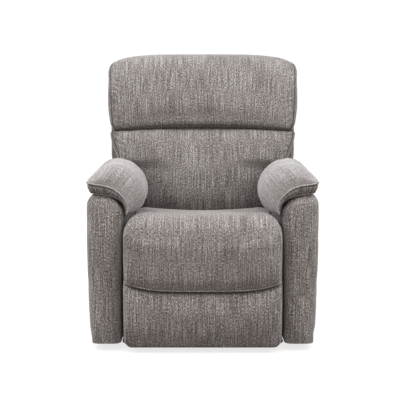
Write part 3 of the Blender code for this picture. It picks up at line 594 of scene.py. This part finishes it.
# The side outlines: height up the back, and half the width there.
HEAD_WING = [(0.28, 0.353), (0.315, 0.3605), (0.332, 0.3670), (0.360, 0.3705), (0.41, 0.3740), (0.50, 0.3770)]
HEAD_WING += [(0.560, 0.3805), (0.580, 0.3785), (0.598, 0.3735), (0.62, 0.3655), (0.70, 0.360)]
LUMBAR_WING = [(-0.10, 0.250), (0.05, 0.250), (0.135, 0.252), (0.155, 0.264), (0.170, 0.292), (0.180, 0.320)]
LUMBAR_WING += [(0.190, 0.334), (0.224, 0.3455), (0.2655, 0.3615), (0.300, 0.3700), (0.308, 0.3695)]
LUMBAR_WING += [(0.34, 0.366)]
SHELL_WING = [(-0.10, 0.259), (0.05, 0.259), (0.128, 0.260), (0.148, 0.268), (0.162, 0.300), (0.172, 0.335)]
SHELL_WING += [(0.184, 0.360), (0.202, 0.371), (0.235, 0.3765), (0.40, 0.377), (0.53, 0.3765), (0.57, 0.369)]
SHELL_WING += [(0.70, 0.360)]


def head_top(share):
    fall = (0.960 * np.minimum(abs(share), 1.0)) ** ARCH_POWER
    return HEAD_HIGH - HEAD_ARCH * (1 - (1 - fall) ** (1 / ARCH_POWER))


def head_plan(share):
    """How much of its depth the head cushion still has, towards its sides."""
    return 1 - 0.34 * abs(share) ** 2.6


def bowed(level, share):
    """The crease between head and lumbar rises towards the middle."""
    return level + 0.006 * (1 - share**2)


def head_ring(share):
    """The head cushion's section, from its lower rear edge up the rear and down the front."""
    high = head_top(share)
    low = bowed(HEAD_LOW, share)
    span = high - low
    plan = head_plan(share)
    front = [(CUSHION_BASE - d * plan, low + t * span) for d, t in HEAD_FRONT]
    rear = [(CUSHION_REAR, low + rise) for rise in (0.004, 0.33 * span, 0.66 * span)]
    rear += [(CUSHION_REAR, high - 0.022), (-0.034, high - 0.003), (-0.055, high)]
    under = [(CUSHION_BASE - 0.062 * plan, low + 0.001)]
    return smooth_line(rear + front[::-1] + under, 176, closed=True)


def head_half(v, u):
    return curve_at(u, HEAD_WING)


def head_held(v, u):
    return ease((v + 0.085) / 0.040)


def lumbar_ring(share):
    """The lumbar cushion's section, in the same order."""
    low, high = -0.030, bowed(0.3095, share)
    span = high - low
    plan = 1 - 0.36 * abs(share) ** 3
    front = [(CUSHION_BASE - d * plan, low + t * span) for d, t in LUMBAR_FRONT]
    rear = [(CUSHION_REAR, low + rise) for rise in (0.060, 0.33 * span, 0.66 * span)]
    rear += [(CUSHION_REAR, high - 0.006), (-0.030, high)]
    return smooth_line(rear + front[::-1], 168, closed=True)


def lumbar_half(v, u):
    return curve_at(u, LUMBAR_WING)


def lumbar_held(v, u):
    return np.maximum(ease((v + 0.075) / 0.035), ease((0.030 - u) / 0.050))


def shell_ring(share):
    """The outside of the back: a shallow tray with a rounded rear."""
    high = head_top(share) - 0.008
    low = 0.032
    span = high - low
    rear = 0.068 - 0.010 * share**4
    points = [(-0.016, low), (0.020, low - 0.001), (rear - 0.014, low + 0.001), (rear - 0.003, low + 0.016)]
    points += [(rear, low + t * span) for t in (0.15, 0.3, 0.45, 0.6, 0.75, 0.88)]
    points += [(rear - 0.003, high - 0.022), (rear - 0.016, high - 0.005)]
    points += [(0.025, high), (-0.016, high - 0.001)]
    points += [(-0.0175, low + t * span) for t in (0.85, 0.6, 0.35, 0.12)]
    return smooth_line(points, 120, closed=True)


def shell_half(v, u):
    """The wings stand wide above the arms; their lower edge rises towards the rear, clear of the arms."""
    return curve_at(u - 0.55 * np.clip(v, 0.0, 0.07) * (u < 0.35), SHELL_WING)


def shell_held(v, u):
    return 1 - ease(v / 0.030)


def seam_puckers(x, v, u, gap):
    """Small slanting gathers beside a side seam, on the front only."""
    height, every = 0.0030, 0.026
    side = np.sign(x)
    wave = np.sin(2 * math.pi * (u / every - side * 0.08 + gap * 22) + 1.7 * np.sin(u * 41 + side))
    reach = (1 - np.exp(-gap / 0.003)) * np.exp(-gap / 0.020)
    return height * wave * reach * ease((-0.05 - v) / 0.03)


def back_cushion(name, ring_at, half_at, held, bulge, seed, fill, welt_radius, **form):
    """A cushion of the back with a tube of darkened fabric along each side seam: painted shade."""
    form["puckers"] = seam_puckers
    panels, seams, _ = boxed(ring_at, half_at, 76, bulge, back_to_frame, seed, held, **form)
    made = cloth_object(name + "_pillow", panels)
    rides(made, "back", [name + "_cushion"])
    # Tubes of darkened fabric along the side seams: painted shade.
    for (side_name, _), seam in zip(SIDES, seams):
        welt(name + "_side_shade_" + side_name, seam[14:-6], welt_radius, "back", PAINTED_SHADE_LINE_CLOTH)
    return made


def painted_crease_shade():
    """A tube of darkened fabric in the crease between the two cushions: painted shade."""
    shares = np.linspace(-0.985, 0.985, 90)
    crease = (shares * 0.362, CUSHION_BASE - 0.142 * head_plan(shares), bowed(0.3108, shares))
    welt("painted_crease_shade", back_to_frame(*crease), 0.0026, "back", PAINTED_SHADE_LINE_CLOTH)


def back_pieces():
    head = back_cushion("head", head_ring, head_half, head_held, 0.0125, 0.1, 0.85, 0.0040, groove=0.005)
    lumbar = back_cushion(
        "lumbar", lumbar_ring, lumbar_half, lumbar_held, 0.0110, 0.4, 0.8, 0.0036, slim=0.04, groove=0.004
    )
    painted_crease_shade()
    panels, _, _ = boxed(shell_ring, shell_half, 64, 0.0040, back_to_frame, 0.8, shell_held, slim=0.02)
    shell = cloth_object("back_shell", panels)
    rides(shell, "back", ["back_cover"])
    stuffed(head, 0.008, slack=0.005, evened=40)
    stuffed(lumbar, 0.009, slack=0.008)
    stuffed(shell, 0.004, pressure=1.0, slack=0.006)


# ---------------- the seat
SEAT_HALF, SEAT_FRONT = 0.2650, -0.4630
HEM_LOW, HEM_RISE, HEM_REACH = 0.2185, 0.034, 0.272
TOP_ROUNDING, SIDE_ROUNDING = 0.046, 0.020
SEAT_TOP = [(-0.4620, 0.396), (-0.4530, 0.434), (-0.4315, 0.463), (-0.403, 0.4755), (-0.370, 0.4745)]
SEAT_TOP += [(-0.330, 0.468), (-0.270, 0.458), (-0.200, 0.449), (-0.120, 0.443), (-0.030, 0.4395)]
SEAT_TOP += [(0.050, 0.435), (0.076, 0.427)]
SEAT_UNDER = [(0.030, 0.3750), (-0.150, 0.3750), (-0.330, 0.3750), (-0.414, 0.3745), (-0.4270, 0.366)]


def hem_at(x):
    """The height of the hem, which rises towards both sides."""
    return HEM_LOW + HEM_RISE * min(1.0, abs(x) / HEM_REACH) ** 4


def corner(distance, radius):
    """How far a rounded edge has fallen at the given distance inside it."""
    inside = max(0.0, radius - distance)
    return radius - math.sqrt(max(0.0, radius**2 - inside**2))


def seat_ring(share):
    """The seat's section, from the hem up the front, over the top and down the rear, then back underneath."""
    distance = SEAT_HALF * (1 - abs(share))
    drop, inset = corner(distance, TOP_ROUNDING), corner(distance, SIDE_ROUNDING)
    hem = hem_at(share * SEAT_HALF)
    dish = 0.015 * (1 - min(1.0, abs(share) / 0.8) ** 2)
    top = []
    for y, z in SEAT_TOP:
        level = min(1.0, max(0.0, (z - 0.38) / 0.09))
        top.append((y + inset * (1 - 0.5 * level), z - drop * level - dish * ease((y + 0.12) / 0.16)))
    front = [(-0.4510 + inset, hem + 0.002), (-0.4565 + inset, hem + 0.012), (-0.4615 + inset, hem + 0.038)]
    front += [(SEAT_FRONT + inset, 0.300), (-0.4625 + inset, 0.350)]
    rear = [(0.086, top[-1][1] - 0.016), (0.087, 0.395), (0.082, 0.3765)]
    apron = [(-0.4280, 0.330), (-0.4285, hem + 0.030), (-0.4320, hem + 0.006), (-0.443, hem + 0.000)]
    visible = smooth_line(front + top + rear, 112)
    hidden = smooth_line([rear[-1]] + SEAT_UNDER + apron + [front[0]], 44)[1:-1]
    return np.vstack([visible, hidden])


def seat_half(y, z):
    return np.full(len(y), SEAT_HALF) + 0.003 * ease((0.30 - z) / 0.07)


def plain(x, y, z):
    return np.stack([x, y, z], axis=-1)


def seat_held(y, z):
    """Fixed underneath, behind the apron and at the rear; the hold eases off up the front."""
    hidden = (z < 0.3765) & (y > -0.4365)
    return np.maximum(hidden, np.maximum(ease((y + 0.02) / 0.08), ease((0.262 - z) / 0.036)))


def seat_piece():
    panels, _, grid = boxed(seat_ring, seat_half, 72, 0.0025, plain, 1.3, seat_held, slim=0.02)
    # The seat takes the slightly darkened copy of the fabric: painted shade.
    seat = cloth_object("seat_pad", panels, PAINTED_SHADE_SEAT_CLOTH)
    rides(seat, "seat", ["seat_cushion"])
    welt("seat_hem", grid[:, 0] + np.array([0.0, -0.0005, 0.0005]), 0.0030, "seat")
    stuffed(seat, 0.005)


# ---------------- the footrest
FOOT_HALF, FOOT_LOW, FOOT_FRONT, FOOT_BACK = 0.2685, 0.0190, -0.4575, -0.4075
FOOT_GAP = 0.0065
FOOT_ROUNDING = 0.026

# The front's profile: share of the height, and how far behind the foremost point it lies.
FOOT_PROFILE = [(0.82, 0.001), (0.65, 0.0), (0.48, 0.001), (0.33, 0.0035), (0.20, 0.0075), (0.09, 0.0130)]


def foot_ring(share):
    """The footrest panel's section; its upper edge follows the seat's hem."""
    low, high = FOOT_LOW, hem_at(share * FOOT_HALF) - FOOT_GAP
    front = FOOT_FRONT + corner(FOOT_HALF * (1 - abs(share)), 0.014)
    back = FOOT_BACK
    points = [(back, low + 0.010), (back, (low + high) / 2), (back, high - 0.004), (back - 0.010, high)]
    points += [(-0.436, high), (front + 0.012, high - 0.004), (front + 0.005, high - 0.016)]
    points += [(front + behind, low + t * (high - low)) for t, behind in FOOT_PROFILE]
    points += [(front + 0.0185, low + 0.005), (-0.434, low), (back - 0.012, low)]
    return smooth_line(points, 84, closed=True)


def foot_half(y, z):
    """Half the width, with rounded lower corners."""
    inside = np.clip(FOOT_ROUNDING - (z - FOOT_LOW), 0.0, FOOT_ROUNDING)
    return FOOT_HALF - (FOOT_ROUNDING - np.sqrt(FOOT_ROUNDING**2 - inside**2)) * 0.9


def foot_held(y, z):
    return ease((y + 0.455) / 0.012)


def footrest_piece():
    panels, _, _ = boxed(foot_ring, foot_half, 72, 0.0015, plain, 1.9, foot_held, slim=0.01)
    foot = cloth_object("footrest_cover", panels)
    rides(foot, "footrest", ["footrest_pad"])
    stuffed(foot, 0.006, pressure=2.5, slack=0.008)


# ---------------- the arms
ARM_LOW, ARM_HIGH, ARM_FRONT, ARM_REAR = 0.026, 0.544, -0.418, 0.360
ARM_INNER, ARM_CORNER = 0.2825, 0.024
ARM_MIDDLE = (ARM_INNER + 0.394) / 2
ARM_TURN = 200  # points in one turn round an arm
BODY_SHARE, TOP_SHARE = 0.93, 0.07  # the upright part of the height, and the part that rounds over
ARM_CROWN = [(0.270, 0.480), (0.2825, 0.498), (0.288, 0.516), (0.300, 0.5300), (0.3275, 0.5385)]
ARM_CROWN += [(0.360, 0.5440), (0.384, 0.5470), (0.392, 0.5440), (0.400, 0.5380)]
ARM_OUTER = [(0.0, 0.3825), (0.026, 0.3835), (0.15, 0.3880), (0.30, 0.3910), (0.45, 0.3910), (0.55, 0.3895)]
ARM_SWELL = [(0.0, 0.0), (0.10, 0.0), (0.22, 0.002), (0.32, 0.004), (0.40, 0.005), (0.45, 0.009)]
ARM_SWELL += [(0.49, 0.015), (0.60, 0.012)]


def arm_top(x, y):
    """The padded top: an inner shoulder under the pad's roll, falling behind the pad."""
    return curve_at(x, ARM_CROWN) - 0.045 * ease((y - 0.10) / 0.26)


def arm_swell(x, y, z):
    """How far the arm's inner face bulges over the seat, most just under the pad's roll."""
    return curve_at(z, ARM_SWELL) * ease((0.305 - x) / 0.022) * (1 - 0.65 * ease((y + 0.15) / 0.20))


def arm_loop(z):
    """One turn round the arm at height z: a rectangle with rounded corners."""
    low, high = ARM_INNER, curve_at(z, ARM_OUTER)
    corners = [(high, ARM_REAR, 0), (low, ARM_REAR, 90), (low, ARM_FRONT, 180), (high, ARM_FRONT, 270)]
    points = []
    for x, y, start in corners:
        cx = x - ARM_CORNER if x == high else x + ARM_CORNER
        cy = y - ARM_CORNER if y == ARM_REAR else y + ARM_CORNER
        for k in range(7):
            angle = math.radians(start + 15 * k)
            points.append((cx + ARM_CORNER * math.cos(angle), cy + ARM_CORNER * math.sin(angle)))
    return np.array(points)


def resampled(points, count):
    """A closed line of points at equal steps, starting at the first one."""
    line = np.vstack([points, points[:1]])
    lengths = run_of(line)
    wanted = np.linspace(0, lengths[-1], count, endpoint=False)
    return np.column_stack([np.interp(wanted, lengths, line[:, k]) for k in range(line.shape[1])])


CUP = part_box("release_cup")
RECESS = tuple(sum(ends) / 2 for ends in zip(*CUP))[1:]
RECESS_HALF = tuple((high - low) / 2 + 0.003 for low, high in zip(*CUP))[1:]
RECESS_CORNER = 0.010
RECESS_ARM = -0.37  # the opening is cut in what lies beyond this x

# The rim's section: how far outside the opening's edge each point lies, and how far it stands out of the arm.
RIM = [(-0.0038, -0.0012), (-0.0038, 0.0015), (-0.0026, 0.0030), (0.0, 0.0034), (0.0045, 0.0024)]
RIM += [(0.0062, -0.001), (0.0062, -0.006)]


def beyond_recess(y, z):
    """Distance outside the rounded opening in the left arm; negative inside it."""
    dy = np.abs(y - RECESS[0]) - (RECESS_HALF[0] - RECESS_CORNER)
    dz = np.abs(z - RECESS[1]) - (RECESS_HALF[1] - RECESS_CORNER)
    return np.hypot(np.maximum(dy, 0), np.maximum(dz, 0)) + np.minimum(np.maximum(dy, dz), 0) - RECESS_CORNER


def release_bezel():
    """The moulded rim clipped round the recess, over the fabric's cut edge."""
    turn = np.linspace(0, 2 * math.pi, 96, endpoint=False)
    out = np.column_stack([np.cos(turn), np.sin(turn)])
    core = np.abs(out) ** 0.55 * np.sign(out) * (np.array(RECESS_HALF) - RECESS_CORNER)
    edge = core + out * RECESS_CORNER
    face = CUP[0][0]
    rows = []
    for offset, height in RIM:
        ring = edge + out * offset
        rows.append(np.column_stack([np.full(len(turn), face - height), ring + RECESS]))
    made = cloth_object("release_bezel", [Panel(rows, rows, True, (face + 0.01, *RECESS))], PLASTIC)
    shell = made.modifiers.new("thickness", "SOLIDIFY")
    shell.thickness = 0.0012
    rides(made, "base")


def arm_row(share):
    """The arm's outline at a share of its height, and how far round the arm each point is."""
    loop = resampled(arm_loop(ARM_LOW + share * (ARM_HIGH - ARM_LOW)), ARM_TURN)
    flat_x, flat_y = loop.T
    height = ARM_LOW + share * (arm_top(flat_x, flat_y) - ARM_LOW)
    rounding = 0.014 * (max(0.0, (share - BODY_SHARE) / TOP_SHARE)) ** 2
    crown = 0.005 * (1 - ((flat_y + 0.025) / 0.386) ** 2) * ease((flat_x - 0.36) / 0.03)
    inwards = ARM_MIDDLE - flat_x
    x = flat_x + crown + np.sign(inwards) * rounding * np.clip(np.abs(inwards) / 0.05, 0, 1)
    x = x - arm_swell(flat_x, flat_y, height)
    lean = 0.006 * ease((share - 0.62) / 0.38) + 0.006 * max(0.0, (0.2 - share) / 0.2) ** 2
    lean = lean - 0.006 * math.exp(-(((share - 0.66) / 0.22) ** 2))
    y = flat_y + lean * ease((-0.30 - flat_y) / 0.10)
    y = y + np.where(flat_y < 0, 1, -1) * rounding * np.clip(np.abs(flat_y) / ARM_REAR, 0, 1) ** 8
    return np.column_stack([x, y, height]), run_of(loop)


def closing_rows(edge):
    """Rings from the arm's last row to the middle of its top."""
    middle = 0.340
    front, rear = edge[:, 1].min() + 0.05, edge[:, 1].max() - 0.05
    spine = np.clip(edge[:, 1], front, rear)
    for step in np.linspace(0, 1, 8)[1:]:
        x = middle + (edge[:, 0] - middle) * (1 - step)
        y = spine + (edge[:, 1] - spine) * (1 - step)
        z = edge[:, 2] + (arm_top(x, y) + 0.001 - edge[:, 2]) * ease(step * 3)
        yield np.column_stack([x, y, z])


def snapped_to_recess(grid, pins):
    """Moves the points nearest to the opening onto its edge, and holds those round it."""
    step = 1e-5
    y, z = grid[..., 1], grid[..., 2]
    away = beyond_recess(y, z)
    outer = grid[..., 0] < RECESS_ARM
    near = (np.abs(away) < 0.0055) & outer
    slope_y = (beyond_recess(y + step, z) - away) / step
    slope_z = (beyond_recess(y, z + step) - away) / step
    grid[..., 1] -= np.where(near, away * slope_y, 0)
    grid[..., 2] -= np.where(near, away * slope_z, 0)
    return np.maximum(pins, ease((0.045 - away) / 0.03) * outer)


def cut_recess(bm):
    middles = [(face, face.calc_center_median()) for face in bm.faces]
    cut = [face for face, c in middles if c.x < RECESS_ARM and beyond_recess(c.y, c.z) < -0.0008]
    bmesh.ops.delete(bm, geom=cut, context="FACES")


def arm_upholstery(side_name, side):
    """The padded cover of an arm; the left one is cut open round the release."""
    grid, cloth = [], []
    levels = np.r_[np.linspace(0, BODY_SHARE, 46), 1 - TOP_SHARE * np.linspace(0.9, 0, 8) ** 2]
    for share in levels:
        row, round_the_arm = arm_row(share)
        grid.append(row)
        cloth.append(np.column_stack([round_the_arm, row[:, 2], np.full(len(row), 2.4 + side * 0.1)]))
    for row in closing_rows(grid[-1]):
        grid.append(row)
        cloth.append(np.column_stack([row[:, 0], row[:, 1], np.full(len(row), 2.9)]))
    grid, cloth = np.array(grid), np.array(cloth)
    grid = np.concatenate([grid, grid[:, :1]], axis=1)
    loop_end = cloth[:, :1].copy()
    loop_end[: len(levels), :, 0] = cloth[: len(levels), -1:, 0] + 0.009
    cloth = np.concatenate([cloth, loop_end], axis=1)
    grid[..., 0] *= side
    pins = np.zeros(grid.shape[:2])
    pins[:6] = np.linspace(1.0, 0.0, 6)[:, None]
    pins = np.maximum(pins, ease((0.305 - np.abs(grid[..., 0])) / 0.015) * ease((grid[..., 1] + 0.40) / 0.03))
    if side < 0:
        pins = snapped_to_recess(grid, pins)
    cover = Panel(grid, cloth, False, (side * 0.346, 0, 0.3), pins)
    made = cloth_object("arm_upholstery_" + side_name, [cover])
    if side < 0:
        edit_mesh(made, cut_recess)
    rides(made, "base", ["arm_cover_" + side_name])
    stuffed(made, 0.005, pressure=1.5, slack=0.008)


PAD_FRONT, PAD_REAR, PAD_NOSE, PAD_TAIL = -0.407, 0.100, 0.060, 0.040  # the nose is a length

# Sections of a pad: the seam line of its front, its skin where it is full, and its underside.
PAD_SEAM = [(0.389, 0.582), (0.365, 0.5775), (0.338, 0.5735), (0.303, 0.563), (0.277, 0.543), (0.258, 0.519)]
PAD_SEAM += [(0.2515, 0.4945), (0.2585, 0.4755)]
PAD_SKIN = [(0.3885, 0.588), (0.381, 0.601), (0.362, 0.6175), (0.333, 0.635), (0.302, 0.643), (0.274, 0.6375)]
PAD_SKIN += [(0.2525, 0.6235), (0.231, 0.605), (0.2135, 0.583), (0.202, 0.556), (0.1985, 0.533)]
PAD_SKIN += [(0.2035, 0.508), (0.2145, 0.490), (0.234, 0.4765), (0.2555, 0.4715), (0.2655, 0.4735)]
PAD_UNDER = [(0.262, 0.4730), (0.2645, 0.492), (0.2715, 0.514), (0.291, 0.5305), (0.324, 0.5405)]
PAD_UNDER += [(0.3775, 0.5475)]
SKIN_POINTS, UNDER_POINTS, BOX_POINTS, END_ROWS = 60, 26, 8, 9
SKIN_MIDDLE = 24  # the point of the skin where its cloth is measured from


def pad_lines(y, seam, full, under):
    """The pad's section at y: its skin, from the outer welt over the top to the inner edge, and the rest."""
    t = min(1.0, (y - PAD_FRONT) / PAD_NOSE)
    grown = (1 - (1 - t) ** 2.1) ** (1 / 2.1)
    skin = seam + (full - seam) * grown
    # towards the rear the inner roll gets slimmer and the crest lower
    back = ease(max(0.0, min(1.0, (y + 0.25) / 0.35)))
    inner = ease((0.350 - skin[:, 0]) / 0.045)[:, None]
    skin += (np.array([0.320, 0.530]) - skin) * (0.25 * back * inner)
    high = np.clip((skin[:, 1] - 0.600) / 0.043, 0, 1) * (1 - inner[:, 0])
    skin[:, 1] -= 0.010 * back * high
    # the outer edge rises and comes inwards along the arm
    outer = np.clip((skin[:, 0] - 0.350) / 0.039, 0, 1)
    run = (y - PAD_FRONT) / (PAD_REAR - PAD_FRONT)
    skin[:, 1] += 0.022 * run * outer
    skin[:, 0] -= 0.009 * run * outer
    # the rear end closes in an arc
    fade = max(0.0, (y - 0.050) / (PAD_REAR - 0.050))
    close = 1 - (1 - fade**2.4) ** (1 / 2.4)
    centre = np.array([0.320, 0.560])
    skin = centre + (skin - centre) * np.array([1 - 0.22 * close, 1 - 0.55 * close])
    foot = under[-1] + np.array([0.006 * grown, 0.003 * grown])
    box = np.linspace(foot, skin[0], BOX_POINTS)
    box[:, 0] += np.sin(np.linspace(0, math.pi, BOX_POINTS)) * 0.007 * grown
    return skin, np.vstack([skin[-1:], under[:-1], box])


def pad_ends(skins, boxes, inside):
    """The two end faces of a pad, between the skin and the underside."""
    steps = np.linspace(0, 1, END_ROWS)[:, None, None]
    arch = np.sin(np.linspace(0, math.pi, END_ROWS))[:, None]
    width = np.linspace(0, 0.20, SKIN_POINTS)
    for end, tuck, crown in ((0, 0.010, -0.004), (-1, 0.0, 0.006)):
        low = smooth_line(boxes[end][: UNDER_POINTS + 1], SKIN_POINTS)[::-1]
        face = skins[end][None] * (1 - steps) + low[None] * steps
        face[..., 1] += tuck * steps[..., 0] ** 1.5 + crown * arch
        shape = face.shape[:2]
        cloth = np.stack([np.broadcast_to(width, shape), face[..., 2], np.full(shape, 4.1)], axis=-1)
        yield Panel(face, cloth, False, inside, material=1)


def arm_pillow(side_name, side):
    """The pillow pad on an arm: its skin over the top in a lightened, cooled copy of the fabric, which is
    painted light, the sides in the plain fabric, and a welt along its lower edge.
    """
    seam, full = smooth_line(PAD_SEAM, SKIN_POINTS), smooth_line(PAD_SKIN, SKIN_POINTS)
    under = smooth_line(PAD_UNDER, UNDER_POINTS)
    nose = PAD_FRONT + PAD_NOSE * np.linspace(0, 1, 14) ** 1.7
    run = np.linspace(PAD_FRONT + PAD_NOSE, PAD_TAIL, 44)[1:]
    tail = PAD_TAIL + 0.060 * np.linspace(0, 1, 12)[1:] ** 0.7
    skins, boxes = [], []
    for y in np.r_[nose, run, tail]:
        for line, rows in zip(pad_lines(y, seam, full, under), (skins, boxes)):
            lean = 0.35 * ease((y + 0.10) / 0.20) * np.maximum(0.0, line[:, 1] - 0.50)
            rows.append(np.column_stack([side * line[:, 0], y + lean, line[:, 1]]))
    skins, boxes = np.array(skins), np.array(boxes)
    width, length = arc_lengths(skins, 1), arc_lengths(skins, 0)
    middle = width[:, SKIN_MIDDLE, None]
    cloth = np.stack([width - middle, length, np.full(width.shape, 3.3 + side * 0.2)], axis=-1)
    width, length = arc_lengths(boxes, 1), arc_lengths(boxes, 0)
    box_cloth = np.stack([length, width, np.full(width.shape, 3.8 + side * 0.2)], axis=-1)
    pins, box_pins = np.zeros(skins.shape[:2]), np.zeros(boxes.shape[:2])
    for held in (pins, box_pins):
        held[[0, -1]] = 1.0
        held[:, [0, -1]] = 1.0
    box_pins[:, : UNDER_POINTS + 2] = 1.0
    inside = (side * 0.31, -0.15, 0.57)
    panels = [Panel(skins, cloth, False, inside, pins)]
    panels += [Panel(boxes, box_cloth, False, inside, box_pins, material=1), *pad_ends(skins, boxes, inside)]
    made = cloth_object("arm_pillow_" + side_name, panels, PAINTED_LIGHT_PAD_CLOTH, FABRIC)
    rides(made, "base", ["arm_pad_" + side_name])
    # The front and side welts take the skin's lightened fabric, painted light; the fold under the front welt
    # is darkened fabric, painted shade.
    for part, path, radius, look in (
        ("front_welt", skins[0] + np.array([0.0, -0.001, 0.0]), 0.0030, PAINTED_LIGHT_PAD_CLOTH),
        ("side_welt", skins[:-2, 0], 0.0030, PAINTED_LIGHT_PAD_CLOTH),
        ("front_shade_line", skins[0][1:-1] + np.array([0.0, -0.0005, -0.0042]), 0.0018, PAINTED_SHADE_LINE_CLOTH),
    ):
        welt("arm_pad_" + part + "_" + side_name, path, radius, "base", look)
    stuffed(made, 0.010)


# ---------------- the rear panel
def rear_ring(share):
    """The panel's section, the same at every share of its width."""
    rear, front, low, high = 0.3575, 0.3345, 0.0405, 0.4230
    points = [(front, low + t * (high - low)) for t in (0.1, 0.35, 0.65, 0.9)]
    points += [(front + 0.006, high - 0.001), (rear - 0.006, high - 0.001), (rear - 0.0005, high - 0.012)]
    points += [(rear + 0.002, low + t * (high - low)) for t in (0.8, 0.5, 0.2)]
    points += [(rear - 0.0005, low + 0.012), (rear - 0.006, low + 0.001), (front + 0.006, low + 0.001)]
    return smooth_line(points, 96, closed=True)


def rear_half(y, z):
    return np.full(len(y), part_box("rear_panel")[1][0] - 0.0005)


def rear_held(y, z):
    return 1 - ease((y - 0.345) / 0.010)


def rear_piece():
    panels, _, _ = boxed(rear_ring, rear_half, 64, 0.0005, plain, 5.1, rear_held, slim=0.01)
    made = cloth_object("rear_upholstery", panels)
    rides(made, "base", ["rear_panel"])
    stuffed(made, 0.004, pressure=1.0, slack=0.006)


# ---------------- stage
WHITE, WARM_WHITE, COOL_WHITE = (1.0, 1.0, 1.0), (1.0, 0.935, 0.895), (0.945, 0.975, 1.0)
SOFTBOXES = (
    ("front_softbox", (0.0, -2.8, 1.5), (0, 0, 0.5), 2.2, 44.0, WARM_WHITE),
    ("left_softbox", (-2.1, -0.9, 2.2), (0, -0.1, 0.65), 1.6, 74.0, WHITE),
    ("right_softbox", (2.1, -0.9, 2.2), (0, -0.1, 0.65), 1.6, 76.0, WHITE),
    ("rear_softbox", (0.0, 3.0, 1.3), (0, 0, 0.5), 2.0, 34.0, WHITE),
)
FLOOR_REACH = 40.0


def add_camera(scene):
    camera = bpy.data.objects.new("camera", bpy.data.cameras.new("camera"))
    scene.collection.objects.link(camera)
    camera.location = (0.0, -3.26, 0.91)
    camera.rotation_euler = (math.pi / 2 - 0.134, 0.0, 0.0)
    camera.data.sensor_width = 36.0
    camera.data.lens = 76.8
    camera.data.shift_x = -0.0068
    scene.camera = camera


def add_floor(scene):
    """A pale floor that glows a little for the camera alone."""
    mesh = bpy.data.meshes.new("floor")
    signs = ((-1, -1), (1, -1), (1, 1), (-1, 1))
    mesh.from_pydata([(x * FLOOR_REACH, y * FLOOR_REACH, 0) for x, y in signs], [], [(0, 1, 2, 3)])
    floor = bpy.data.objects.new("floor", mesh)
    scene.collection.objects.link(floor)
    look, tree, shader = new_material("studio_floor", base_color=(0.175, 0.158, 0.154), roughness=1.0)
    shader.inputs["Specular IOR Level"].default_value = 0.0
    seen = node(tree, "ShaderNodeLightPath").outputs["Is Camera Ray"]
    shader.inputs["Emission Color"].default_value = (*WHITE, 1.0)
    tree.links.new(scaled(tree, seen, 0.76), shader.inputs["Emission Strength"])
    mesh.materials.append(look)


def add_world(scene):
    """A white surround, brighter for the camera than for the light it gives."""
    world = bpy.data.worlds.new("studio")
    world.use_nodes = True
    tree = world.node_tree
    seen = node(tree, "ShaderNodeLightPath").outputs["Is Camera Ray"]
    tree.nodes["Background"].inputs["Color"].default_value = (*WHITE, 1.0)
    tree.links.new(scaled(tree, seen, 0.67, 0.38), tree.nodes["Background"].inputs["Strength"])
    scene.world = world


def add_lamp(scene, name, kind, direction, power, colour):
    lamp = bpy.data.lights.new(name, kind)
    lamp.energy = power
    lamp.color = colour
    placed = bpy.data.objects.new(name, lamp)
    placed.rotation_euler = Vector(direction).to_track_quat("-Z", "Y").to_euler()
    scene.collection.objects.link(placed)
    return lamp, placed


def studio():
    scene = bpy.context.scene
    scene.view_settings.view_transform = "Standard"
    add_camera(scene)
    add_floor(scene)
    add_world(scene)
    sun, _ = add_lamp(scene, "overhead", "SUN", (0.05, 0.16, -1.0), 3.9, COOL_WHITE)
    sun.angle = math.radians(60)
    for name, place, aim, size, power, colour in SOFTBOXES:
        lamp, placed = add_lamp(scene, name, "AREA", Vector(aim) - Vector(place), power, colour)
        lamp.size = size
        placed.location = place


studio()
back_pieces()
seat_piece()
footrest_piece()
for side_name, side in SIDES:
    arm_upholstery(side_name, side)
    arm_pillow(side_name, side)
rear_piece()
release_bezel()
simulate()
dress_hardware()
